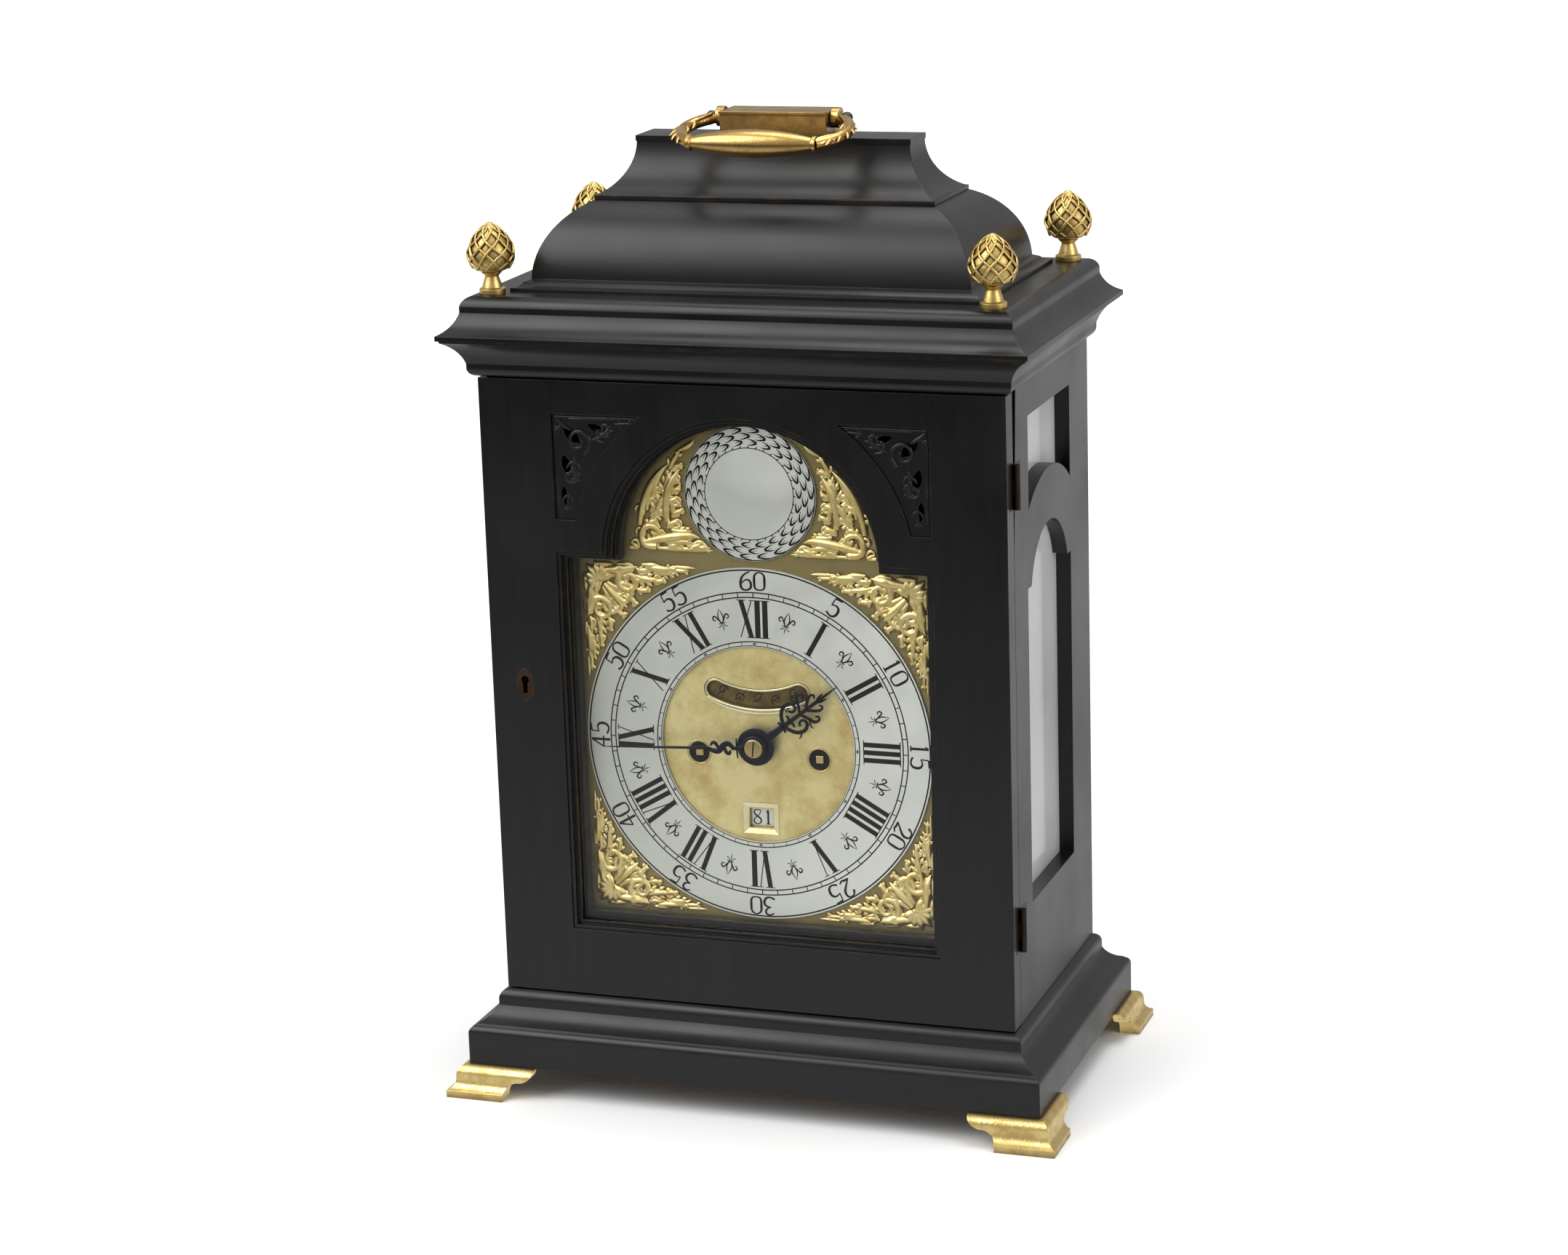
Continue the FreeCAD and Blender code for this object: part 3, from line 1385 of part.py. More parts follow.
# ---------------------------------------------------------------- going train
def centre_arbor():
    z = dial_centre_height
    toward_third = angle_to(0, z, third_x, third_height)
    toward_fusee = angle_to(0, z, winding_offset, winding_height)
    depth0 = centre_wheel_depth
    depth1 = depth0 + train_wheel_thickness
    arbor = rod_y(0, z, centre_arbor_radius, minute_hand_depth + side_clearance, arbor_end)
    wheel = gear(centre_wheel_teeth, centre_module, 0, z, depth0, depth1, toward_third)
    rim = centre_wheel_teeth * centre_module / 2 - wheel_rim
    wheel = crossed(wheel, 0, z, rim, centre_arbor_radius + wheel_hub, depth0, depth1)
    leaves = pinion(centre_pinion_teeth, great_module, 0, z, centre_pinion_depth,
                    centre_pinion_depth + centre_pinion_length, gap_phase(centre_pinion_teeth, toward_fusee))
    return fuse([arbor, wheel, leaves])


def third_wheel():
    toward_centre = angle_to(third_x, third_height, 0, dial_centre_height)
    toward_escape = angle_to(third_x, third_height, 0, escape_height)
    depth0 = third_wheel_depth
    depth1 = depth0 + train_wheel_thickness
    arbor = rod_y(third_x, third_height, arbor_radius, front_plate_depth, arbor_end)
    leaves = pinion(third_pinion_teeth, centre_module, third_x, third_height, third_pinion_depth,
                    third_pinion_depth + train_pinion_length, gap_phase(third_pinion_teeth, toward_centre))
    wheel = gear(third_wheel_teeth, third_module, third_x, third_height, depth0, depth1, toward_escape)
    rim = third_wheel_teeth * third_module / 2 - wheel_rim
    wheel = crossed(wheel, third_x, third_height, rim, arbor_radius + wheel_hub, depth0, depth1)
    return fuse([arbor, leaves, wheel])


def escape_wheel():
    toward_third = angle_to(0, escape_height, third_x, third_height)
    arbor = rod_y(0, escape_height, arbor_radius, front_plate_depth, arbor_end)
    leaves = pinion(escape_pinion_teeth, third_module, 0, escape_height, escape_pinion_depth,
                    escape_pinion_depth + train_pinion_length, gap_phase(escape_pinion_teeth, toward_third))
    depth0 = escape_wheel_depth
    depth1 = depth0 + train_wheel_thickness
    root = escape_radius - escape_tooth_height
    points = []
    for i in range(escape_teeth):
        start = 2 * math.pi * i / escape_teeth
        step = 2 * math.pi / escape_teeth
        for share, radius in ((0.0, root), (0.42, escape_radius), (0.5, escape_radius), (0.62, root)):
            angle = start + share * step
            points.append((radius * math.cos(angle), escape_height + radius * math.sin(angle)))
    wheel = prism_y(points, depth0, depth1)
    wheel = crossed(wheel, 0, escape_height, root - 1.6, arbor_radius + wheel_hub, depth0, depth1)
    return fuse([arbor, leaves, wheel])


def pallet_arbor():
    """Arbor with the two pallets that reach down over the escape wheel."""
    arbor = rod_y(0, pallet_height, pallet_arbor_radius, front_plate_depth, cock_depth + cock_thickness)
    depth0 = escape_wheel_depth - pallet_margin
    depth1 = escape_wheel_depth + train_wheel_thickness + pallet_margin
    clear = escape_radius + pallet_drop_clearance
    spread = pallet_spread
    z = pallet_height
    right = [(spread * 1.16, z - spread * 0.43), (spread * 1.08, z - spread * 0.86),
             (spread * 0.89, z - spread * 0.66), (spread * 0.76, z - spread * 0.33)]
    left = [(-a, b) for a, b in reversed(right)]
    anchor = prism_y([(0, z + spread * 0.26)] + right + [(0, z - spread * 0.21)] + left, depth0, depth1)
    anchor = anchor.cut(rod_y(0, escape_height, clear, depth0 - past, depth1 + past))
    return fuse([arbor, anchor])


def pendulum():
    hub_half = pendulum_hub_half_length
    hub = rod_y(0, pallet_height, pendulum_hub_radius, pendulum_depth - hub_half, pendulum_depth + hub_half)
    hub = hub.cut(rod_y(0, pallet_height, pallet_arbor_radius, 0, case_depth))
    bob_height = pallet_height - pendulum_length
    rod = rod_z(0, y_at(pendulum_depth), pendulum_rod_radius, bob_height - bob_radius - 2, pallet_height - 3.0)
    rod = rod.cut(rod_y(0, pallet_height, pallet_arbor_radius + 0.5, 0, case_depth))
    half = bob_thickness / 2
    steps = [(0, -half), (bob_radius * 0.55, -half * 0.72, bob_radius, -0.4), (bob_radius, 0.4),
             (bob_radius * 0.55, half * 0.72, 0, half)]
    bob = turned_y(steps, 0, bob_height, pendulum_depth)
    return fuse([hub, rod, bob])


# ---------------------------------------------------------------- strike
def strike_bell():
    r = bell_radius
    h = bell_height
    t = bell_metal
    crown = 2.6
    outside = [(0, h), (crown, h), (r * 0.62, h - crown, r * 0.86, h * 0.62), (r * 0.92, h * 0.3, r, 0)]
    inside = [(r - t, 0), (r * 0.92 - t, h * 0.3 - 0.4, r * 0.86 - t, h * 0.62 - 0.6),
              (r * 0.6, h - crown - t, crown, h - t), (0, h - t)]
    steps = outside + inside
    return turned(steps, Vector(0, y_at(bell_depth), bell_mouth_height), Vector(0, 0, 1), Vector(1, 0, 0))


def bell_stand():
    """Strap that rises from the front plate and holds the bell by its crown."""
    top = bell_mouth_height + bell_height
    half = bell_strap_half_width
    thick = bell_strap_thickness
    low = top + bell_stud_length
    strap = slab(-half, half, front_plate_depth - thick, front_plate_depth, bell_strap_bottom, low + thick)
    arm = slab(-half, half, front_plate_depth - thick, bell_depth + half, low, low + thick)
    stud = rod_z(0, y_at(bell_depth), bell_stud_radius, top, low)
    return fuse([strap, arm, stud])


def strike_hammer():
    x = hammer_pivot_x
    z = hammer_pivot_height
    arbor = rod_y(x, z, arbor_radius, front_plate_depth, arbor_end)
    strike_height = bell_mouth_height + strike_rise
    head_x = bell_radius + hammer_rest_gap
    half = hammer_arm_width / 2
    arm = slab(x - half, x + half, bell_depth - 2 * half, bell_depth + 2 * half, z, strike_height + 2 * half)
    head = rod_x(y_at(bell_depth), strike_height, hammer_head_radius, head_x, head_x + hammer_head_length)
    shank = slab(head_x + hammer_head_length - past, x, bell_depth - half, bell_depth + half,
                 strike_height - half, strike_height + half)
    return fuse([arbor, arm, head, shank])


# ---------------------------------------------------------------- write every node
case_front_hinges, door_front_hinges = front_hinges()
case_back_hinges, door_back_hinges = back_hinges()

nodes = {
    "bracket_feet": bracket_feet(),
    "base_moulding": base_moulding(),
    "base_board": base_board(),
    "side_panel_left": side_panel_left(),
    "side_panel_right": side_panel_right(),
    "side_glass": group([mirrored_x(side_glass_right()), side_glass_right()]),
    "case_rails": case_rails(),
    "cornice_moulding": with_finial_holes(cornice_moulding()),
    "top_board": with_finial_holes(top_board()),
    "bell_ovolo": bell_ovolo(),
    "bell_cavetto": bell_cavetto(),
    "bell_boards": group([bell_step_board(), bell_cap()]),
    "finials": finials(),
    "handle_plinth": group([handle_plinth(), handle_plinth_cap()]),
    "handle_pins": handle_pins(),
    "carry_handle": carry_handle(),
    "dial_mask": dial_mask(),
    "dial_plate": dial_plate(),
    "chapter_ring": chapter_ring(),
    "dial_boss": dial_boss(),
    "corner_castings": corner_castings(),
    "arch_castings": arch_castings(),
    "dial_fixings": group(dial_feet() + [slot_backing()]),
    "date_disc": date_disc(),
    "front_plate": front_plate(),
    "back_plate": back_plate(),
    "movement_pillars": movement_pillars(),
    "seat_board": group([seat_board()] + seat_cleats()),
    "pendulum_cock": pendulum_cock(),
    "going_barrel": barrel(barrel_x),
    "strike_barrel": barrel(-barrel_x),
    "going_fusee": going_fusee(),
    "strike_fusee": strike_fusee(),
    "centre_arbor": centre_arbor(),
    "third_wheel": third_wheel(),
    "escape_wheel": escape_wheel(),
    "pallet_arbor": pallet_arbor(),
    "pendulum": pendulum(),
    "minute_hand": minute_hand(),
    "hour_hand": hour_hand(),
    "hand_collet": hand_collet(),
    "cannon_wheel": cannon_wheel(),
    "hour_wheel": hour_wheel(),
    "minute_wheel": minute_wheel(),
    "strike_bell": strike_bell(),
    "bell_stand": bell_stand(),
    "strike_hammer": strike_hammer(),
    "door_frame": door_frame(),
    "door_frets": door_frets(),
    "glazing_bead": group([glazing_bead(), glazing_strip()]),
    "door_glass": door_glass(),
    "escutcheon": escutcheon(),
    "lock_case": lock_case(),
    "lock_bolt": lock_bolt(),
    "door_hinge_leaves": group(door_front_hinges),
    "case_hinge_leaves": group(case_front_hinges + case_back_hinges),
    "back_door": back_door(),
    "back_door_glass": back_door_glass(),
    "back_door_hinge_leaves": group(door_back_hinges),
}

os.makedirs("parts", exist_ok=True)
for name, shape in nodes.items():
    shape.exportStep(os.path.join("parts", name + ".step"))
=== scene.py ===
# %% [markdown]
# # A bell-topped bracket clock
# This clock stands about 45 cm high: an ebonised wooden case with gilt brass feet and finials, an arched
# brass dial behind glass, and a handle on top to carry it from room to room. The measured pieces come from
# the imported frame. This file gives each of them its finish, and models the carved, cast and engraved pieces
# that the frame holds as plain solids.

# %% Load the measured frame
import bpy
import math
from mathutils import Matrix, Vector


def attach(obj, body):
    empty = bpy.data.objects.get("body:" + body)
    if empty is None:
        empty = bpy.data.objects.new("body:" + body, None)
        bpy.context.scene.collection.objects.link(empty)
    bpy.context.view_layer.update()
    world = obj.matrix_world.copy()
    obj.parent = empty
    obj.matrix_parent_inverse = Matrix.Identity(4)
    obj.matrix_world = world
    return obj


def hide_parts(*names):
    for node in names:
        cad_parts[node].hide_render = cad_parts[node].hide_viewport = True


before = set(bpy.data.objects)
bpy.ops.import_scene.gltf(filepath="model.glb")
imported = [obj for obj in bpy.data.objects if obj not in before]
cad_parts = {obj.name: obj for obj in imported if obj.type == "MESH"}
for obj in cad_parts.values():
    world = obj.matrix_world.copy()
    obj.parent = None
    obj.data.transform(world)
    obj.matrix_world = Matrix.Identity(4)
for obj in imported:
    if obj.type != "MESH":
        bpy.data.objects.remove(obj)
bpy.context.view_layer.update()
mm = 0.001

# %% [markdown]
# The dial is where most of the making happens, so its sizes come first. Heights are above the table. A depth
# is measured backwards from the front of the door, because that is how a clockmaker would stack the dial:
# glass, hands, ring, plate.

# %% Sizes that the pieces share
case_half_depth = 69.6
dial_height = 170.15
dial_face_depth = 15.6
ring_face_depth = 14.4
arch_height = 256.5
boss_height = 286.8
boss_radius = 31.0


def place(x, depth, z):
    """A point in metres, from millimetres across, back from the door and up."""
    return Vector((x, depth - case_half_depth, z)) * mm


print("dial centre", place(0, dial_face_depth, dial_height))

# %% [markdown]
# Operators act on whatever is selected, and the frame arrives with every piece selected, so the first helper
# selects only the pieces named. The second moves an object's place into its mesh, and the object itself then
# sits at the origin as the frame's pieces do. The others copy a piece, join pieces, and turn one about a
# point of the dial.

# %% Selecting, settling, copying and joining
def only(*pieces):
    bpy.ops.object.select_all(action="DESELECT")
    for piece in pieces:
        piece.select_set(True)
    bpy.context.view_layer.objects.active = pieces[0]


def settle(piece):
    only(piece)
    bpy.ops.object.transform_apply(location=True, rotation=True, scale=True)
    return piece


def copy_of(piece, matrix, name, body):
    """A copy with its own mesh, moved by a matrix."""
    twin = piece.copy()
    twin.name = name
    twin.data = piece.data.copy()
    twin.data.transform(matrix)
    bpy.context.scene.collection.objects.link(twin)
    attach(twin, body)
    return twin


def joined(name, pieces):
    only(*pieces)
    bpy.ops.object.join()
    whole = bpy.context.view_layer.objects.active
    whole.name = name
    whole.data.name = name
    return whole


def turned_about(x, depth, z, angle):
    """A turn in the plane of the dial about a point, clockwise as seen from the front."""
    there = Matrix.Translation(place(x, depth, z))
    return there @ Matrix.Rotation(angle, 4, "Y") @ there.inverted()


print("helpers ready")

# %% [markdown]
# ## Finishes
# A material is a small tree of nodes. Every finish here starts from the same few ideas: a colour that varies,
# a roughness that varies with it, wear where edges are rubbed and dirt where they aren't. Writing a node tree
# takes many lines, so one helper adds a node, sets its sockets and links whatever is a socket itself.

# %% A helper that adds nodes
def add(tree, kind, settings=None, **sockets):
    node = tree.nodes.new(kind)
    for name, value in (settings or {}).items():
        setattr(node, name, value)
    for name, value in sockets.items():
        if name.startswith("at_"):
            socket = node.inputs[int(name[3:])]
        else:
            socket = node.inputs[name.replace("_", " ")]
        if isinstance(value, bpy.types.NodeSocket):
            tree.links.new(value, socket)
        else:
            socket.default_value = value
    return node


def maths(tree, operation, a, b=0.0, c=0.0):
    return add(tree, "ShaderNodeMath", {"operation": operation}, at_0=a, at_1=b, at_2=c).outputs[0]


def blend_colours(tree, factor, a, b):
    node = add(tree, "ShaderNodeMix", {"data_type": "RGBA"}, at_0=factor, at_6=a, at_7=b)
    return node.outputs[2]


def between(tree, value, low, high, to_low=0.0, to_high=1.0):
    node = add(tree, "ShaderNodeMapRange", {"clamp": True}, Value=value, From_Min=low, From_Max=high,
               To_Min=to_low, To_Max=to_high)
    return node.outputs[0]


def own_place(tree):
    """Where a point lies, in the object's own coordinates."""
    return add(tree, "ShaderNodeTexCoord").outputs["Object"]


def noise(tree, where, scale, detail, roughness=0.5):
    node = add(tree, "ShaderNodeTexNoise", Vector=where, Scale=scale, Detail=detail, Roughness=roughness)
    return node.outputs[0]


def feed(tree, shader, colour, roughness, bump, metallic=0.0):
    """Links the three values that every finish varies, and says how metallic it is."""
    tree.links.new(colour, shader.inputs["Base Color"])
    tree.links.new(roughness, shader.inputs["Roughness"])
    tree.links.new(bump.outputs[0], shader.inputs["Normal"])
    shader.inputs["Metallic"].default_value = metallic


def new_group(name, inputs, outputs):
    """An empty node group with named sockets, and its input and output nodes."""
    tree = bpy.data.node_groups.new(name, "ShaderNodeTree")
    for socket_name, kind, value in inputs:
        tree.interface.new_socket(socket_name, in_out="INPUT", socket_type=kind).default_value = value
    for socket_name, kind in outputs:
        tree.interface.new_socket(socket_name, in_out="OUTPUT", socket_type=kind)
    return tree, tree.nodes.new("NodeGroupInput"), tree.nodes.new("NodeGroupOutput")


FLOAT = "NodeSocketFloat"
VECTOR = "NodeSocketVector"
print("node helpers ready")

# %% [markdown]
# ### Worn and softened edges
# Hands and dusters rub the arrises of a case until the black goes and brown wood shows. Pointiness needs a
# dense joined mesh, which the frame's pieces aren't, so the Bevel node is used instead: it looks a little way
# round each point, and where its normal differs from the face's own there is an edge. The same node also
# gives every sharp edge a small highlight, as a real arris has. Noise breaks the wear up, because nothing
# wears evenly.

# %% Group: worn edges
wear_group, given, result = new_group(
    "worn edges",
    [("Width", FLOAT, 0.0012), ("Rounding", FLOAT, 0.0004), ("Patchiness", FLOAT, 60.0),
     ("Amount", FLOAT, 0.5)],
    [("Wear", FLOAT), ("Rounded Normal", VECTOR)])
wide = add(wear_group, "ShaderNodeBevel", {"samples": 6}, Radius=given.outputs["Width"])
tight = add(wear_group, "ShaderNodeBevel", {"samples": 6}, Radius=given.outputs["Rounding"])
flat = add(wear_group, "ShaderNodeNewGeometry")
alike = add(wear_group, "ShaderNodeVectorMath", {"operation": "DOT_PRODUCT"}, at_0=wide.outputs[0],
            at_1=flat.outputs["Normal"])
edge = between(wear_group, alike.outputs["Value"], 0.985, 0.88)
patches = noise(wear_group, own_place(wear_group), given.outputs["Patchiness"], 6.0, 0.65)
shown = between(wear_group, patches, 0.5, 0.62)
rubbed = maths(wear_group, "MULTIPLY", maths(wear_group, "MULTIPLY", edge, shown), given.outputs["Amount"])
wear_group.links.new(rubbed, result.inputs["Wear"])
wear_group.links.new(tight.outputs[0], result.inputs["Rounded Normal"])
print("group", wear_group.name, len(wear_group.nodes), "nodes")

# %% [markdown]
# ### Wood grain
# Pear and fruitwood, stained black and polished, still show faint long pores. Noise stretched along the
# length of the board gives them. The stretch is an input, because the grain runs upright in the stiles and
# sides, and along the rails and mouldings.

# %% Group: fine grain
grain_group, given, result = new_group(
    "fine grain", [("Stretch", VECTOR, (1.0, 1.0, 0.08)), ("Scale", FLOAT, 300.0)],
    [("Grain", FLOAT), ("Polish", FLOAT)])
where = own_place(grain_group)
along = add(grain_group, "ShaderNodeVectorMath", {"operation": "MULTIPLY"}, at_0=where,
            at_1=given.outputs["Stretch"])
pores = noise(grain_group, along.outputs[0], given.outputs["Scale"], 4.0, 0.6)
haze = noise(grain_group, where, 14.0, 5.0, 0.55)
grain_group.links.new(pores, result.inputs["Grain"])
grain_group.links.new(haze, result.inputs["Polish"])
print("group", grain_group.name, len(grain_group.nodes), "nodes")

# %% [markdown]
# ### Tarnish and hollow shade
# Old brass isn't one colour. It is brightest where it is rubbed and browner in patches. In the hollows it is
# darkened almost to black: partly the polish and dust that collect there, and partly painted shade. Ambient
# Occlusion finds the hollows, two sizes of noise find the patches.

# %% Group: tarnish and hollow shade
tarnish_and_shade_group, given, result = new_group(
    "tarnish and hollow shade", [("Reach", FLOAT, 0.002), ("Patch Scale", FLOAT, 45.0)],
    [("Hollow Dirt And Shade", FLOAT), ("Patch", FLOAT), ("Fine", FLOAT)])
where = own_place(tarnish_and_shade_group)
open_sky = add(tarnish_and_shade_group, "ShaderNodeAmbientOcclusion", {"samples": 6}, Distance=given.outputs["Reach"])
# Painted shade in part: what Ambient Occlusion finds shut in is darkened, as well as dirt.
hollow_dirt_and_shade = between(tarnish_and_shade_group, open_sky.outputs["AO"], 0.9, 0.35)
patch = noise(tarnish_and_shade_group, where, given.outputs["Patch Scale"], 5.0, 0.6)
fine = noise(tarnish_and_shade_group, where, 900.0, 3.0)
tarnish_and_shade_group.links.new(hollow_dirt_and_shade, result.inputs["Hollow Dirt And Shade"])
tarnish_and_shade_group.links.new(between(tarnish_and_shade_group, patch, 0.4, 0.68), result.inputs["Patch"])
tarnish_and_shade_group.links.new(fine, result.inputs["Fine"])
print("group", tarnish_and_shade_group.name, len(tarnish_and_shade_group.nodes), "nodes")

# %% [markdown]
# Every finish begins with a new material, and then takes what it needs from the three groups. A group's
# inputs are set by name where it is placed.

# %% A material to start from, and a group placed in it
def new_material(name):
    """An empty material with its Principled shader."""
    material = bpy.data.materials.new(name)
    material.use_nodes = True
    tree = material.node_tree
    return material, tree, tree.nodes["Principled BSDF"]


def use_group(tree, group, **sockets):
    node = tree.nodes.new("ShaderNodeGroup")
    node.node_tree = group
    for name, value in sockets.items():
        node.inputs[name.replace("_", " ")].default_value = value
    return node.outputs


# %% [markdown]
# ### Ebonised wood
# Black stain under an old wax polish: nearly black, a satin gloss that is a little cloudy, faint pores, and
# brown wood on the rubbed edges. One function makes it, with the direction of the grain as its input.

# %% Ebonised wood
black_stain, stained_pore = (0.0012, 0.0011, 0.0011, 1), (0.0042, 0.0038, 0.0035, 1)
bare_wood = (0.11, 0.055, 0.028, 1)


def ebonised(name, stretch, wear):
    material, tree, shader = new_material(name)
    worn = use_group(tree, wear_group, Amount=wear)
    grain = use_group(tree, grain_group, Stretch=stretch)
    black = blend_colours(tree, between(tree, grain["Grain"], 0.35, 0.7), black_stain, stained_pore)
    colour = blend_colours(tree, worn["Wear"], black, bare_wood)
    gloss = maths(tree, "ADD", between(tree, grain["Polish"], 0.35, 0.7, 0.27, 0.4),
                  maths(tree, "MULTIPLY", worn["Wear"], 0.15))
    bump = add(tree, "ShaderNodeBump", Strength=0.12, Distance=0.0003, Height=grain["Grain"],
               Normal=worn["Rounded Normal"])
    feed(tree, shader, colour, gloss, bump)
    return material


upright_wood = ebonised("ebonised wood, upright grain", (1.0, 1.0, 0.06), 0.25)
long_wood = ebonised("ebonised wood, grain across", (0.06, 1.0, 1.0), 0.28)
deep_wood = ebonised("ebonised wood, grain front to back", (0.25, 0.25, 1.0), 0.5)
print("wood finishes", upright_wood.name, long_wood.name, deep_wood.name)

# %% [markdown]
# ### Oak
# The boards that nobody sees were plain oak, pale brown with open pores.

# %% Oak
oak, tree, shader = new_material("oak")
grain = use_group(tree, grain_group, Stretch=(0.05, 1.0, 1.0), Scale=220.0)
open_pore, pale_oak = (0.17, 0.09, 0.04, 1), (0.36, 0.22, 0.11, 1)
shade = blend_colours(tree, between(tree, grain["Grain"], 0.4, 0.62), open_pore, pale_oak)
bump = add(tree, "ShaderNodeBump", Strength=0.3, Distance=0.0005, Height=grain["Grain"])
feed(tree, shader, shade, between(tree, grain["Polish"], 0.3, 0.7, 0.5, 0.75), bump)
print("finish", oak.name)

# %% [markdown]
# ### Brass
# The feet, castings and finials were fire gilt, which is a warm deep yellow. The handle, the plates and the
# wheels are lacquered or bare brass, which is duller and browner. All come from one function with their own
# colours.

# %% Brass and gilding
def brass(name, bright, dull, dirt_and_shade, rough=(0.22, 0.42), reach=0.002, bump_depth=0.00012, patch_scale=45.0):
    material, tree, shader = new_material(name)
    worn = use_group(tree, wear_group, Amount=0.8)
    old = use_group(tree, tarnish_and_shade_group, Reach=reach, Patch_Scale=patch_scale)
    colour = blend_colours(tree, old["Patch"], bright, dull)
    colour = blend_colours(tree, worn["Wear"], colour, bright)
    # Hollows take the dark colour: partly dirt and polish, partly painted shade.
    colour = blend_colours(tree, old["Hollow Dirt And Shade"], colour, dirt_and_shade)
    gloss = between(tree, maths(tree, "ADD", old["Patch"], old["Hollow Dirt And Shade"]), 0.0, 1.4, *rough)
    bump = add(tree, "ShaderNodeBump", Strength=0.5, Distance=bump_depth, Height=old["Fine"],
               Normal=worn["Rounded Normal"])
    feed(tree, shader, colour, gloss, bump, 1.0)
    return material


casting_gilt = brass("gilt castings", (0.86, 0.7, 0.32, 1), (0.66, 0.49, 0.17, 1), (0.2, 0.13, 0.035, 1),
                     rough=(0.33, 0.5), reach=0.0011, patch_scale=110.0)
foot_gilt = brass("foot gilding", (0.88, 0.68, 0.28, 1), (0.62, 0.43, 0.15, 1), (0.12, 0.06, 0.02, 1),
                  rough=(0.26, 0.46), reach=0.005, patch_scale=150.0, bump_depth=0.0003)
finial_gilt = brass("finial gilding", (0.78, 0.58, 0.22, 1), (0.56, 0.37, 0.12, 1), (0.1, 0.05, 0.015, 1),
                    rough=(0.36, 0.52), reach=0.003, patch_scale=130.0)
handle_brass = brass("handle brass", (0.66, 0.43, 0.15, 1), (0.42, 0.25, 0.08, 1), (0.09, 0.045, 0.015, 1),
                     rough=(0.25, 0.45), patch_scale=90.0)
block_brass = brass("brown lacquered brass", (0.5, 0.35, 0.14, 1), (0.28, 0.17, 0.065, 1),
                    (0.07, 0.035, 0.012, 1), rough=(0.3, 0.5), patch_scale=120.0)
plate_brass = brass("plate brass", (0.72, 0.55, 0.25, 1), (0.52, 0.37, 0.14, 1), (0.2, 0.12, 0.04, 1))
dark_bronze = brass("dark bronze", (0.12, 0.07, 0.045, 1), (0.05, 0.03, 0.02, 1), (0.02, 0.012, 0.008, 1),
                    rough=(0.35, 0.55))
blackened_brass = brass("blackened brass", (0.05, 0.036, 0.027, 1), (0.026, 0.018, 0.013, 1),
                        (0.01, 0.007, 0.005, 1), rough=(0.42, 0.6))
bell_bronze = brass("bell metal", (0.62, 0.5, 0.27, 1), (0.45, 0.33, 0.15, 1), (0.15, 0.1, 0.05, 1))
print("brass finishes ready")

# %% [markdown]
# ### Silvering
# A chapter ring is brass rubbed with silver salts and lacquered, which gives a soft grey-white with a faint
# grain. The lacquer yellows slightly, so the white isn't neutral. The silvering is also painted lighter
# towards the right, a painted highlight of how the light falls across it.

# %% Silvered brass
silvered, tree, shader = new_material("silvered brass")
old = use_group(tree, tarnish_and_shade_group, Reach=0.0015, Patch_Scale=38.0)
fresh_silver, dull_silver = (0.66, 0.68, 0.62, 1), (0.56, 0.57, 0.5, 1)
painted_lit_silver, silver_dirt_and_shade = (0.9, 0.91, 0.86, 1), (0.2, 0.18, 0.13, 1)
shade = blend_colours(tree, old["Patch"], fresh_silver, dull_silver)
parts = add(tree, "ShaderNodeSeparateXYZ", Vector=own_place(tree))
# Painted highlight: the silvering is made lighter towards the right of the ring.
lighter_towards_right = maths(tree, "ADD", parts.outputs["X"], maths(tree, "MULTIPLY", old["Patch"], 0.03))
shade = blend_colours(tree, between(tree, lighter_towards_right, -0.075, 0.1), shade, painted_lit_silver)
# Hollows are darkened: partly dirt, partly painted shade.
shade = blend_colours(tree, old["Hollow Dirt And Shade"], shade, silver_dirt_and_shade)
bump = add(tree, "ShaderNodeBump", Strength=0.35, Distance=0.0001, Height=old["Fine"])
feed(tree, shader, shade, between(tree, old["Patch"], 0.0, 1.0, 0.36, 0.48), bump, 0.75)
print("finish", silvered.name)

# %% [markdown]
# ### Matting
# The middle of the dial plate was struck all over with a hammer punch, so it sparkles as a field of fine
# grains. A Voronoi pattern at half a millimetre is close to the real grain. Outside the ring the plate is
# plain.

# %% Matted brass plate
matted, tree, shader = new_material("matted brass")
old = use_group(tree, tarnish_and_shade_group, Reach=0.003, Patch_Scale=70.0)
where = own_place(tree)
grains = add(tree, "ShaderNodeTexVoronoi", Vector=where, Scale=1900.0)
bright_grain, dull_grain = (0.86, 0.75, 0.37, 1), (0.58, 0.44, 0.17, 1)
plain_plate, plate_dirt_and_shade = (0.3, 0.245, 0.11, 1), (0.16, 0.12, 0.05, 1)
shade = blend_colours(tree, old["Patch"], bright_grain, dull_grain)
from_centre = add(tree, "ShaderNodeVectorMath", {"operation": "DISTANCE"}, at_0=where,
                  at_1=place(0, dial_face_depth, dial_height))
outside = between(tree, from_centre.outputs["Value"], 0.06, 0.065)
shade = blend_colours(tree, outside, shade, plain_plate)
# Hollows by the ring and the castings are darkened: partly dirt, partly painted shade.
shade = blend_colours(tree, maths(tree, "MULTIPLY", old["Hollow Dirt And Shade"], 0.8), shade, plate_dirt_and_shade)
bump = add(tree, "ShaderNodeBump", Strength=0.55, Distance=0.00018, Height=grains.outputs["Distance"])
feed(tree, shader, shade, between(tree, old["Patch"], 0.0, 1.0, 0.38, 0.5), bump, 1.0)
print("finish", matted.name)

# %% [markdown]
# ### Steel, blued steel, iron and black wax
# Blued hands are heated until the oxide turns a very dark blue. The handle's pins are bare iron gone
# brown-black. The wax that fills the engraving varies in the same way, so the same function makes it, with no
# metal in it.

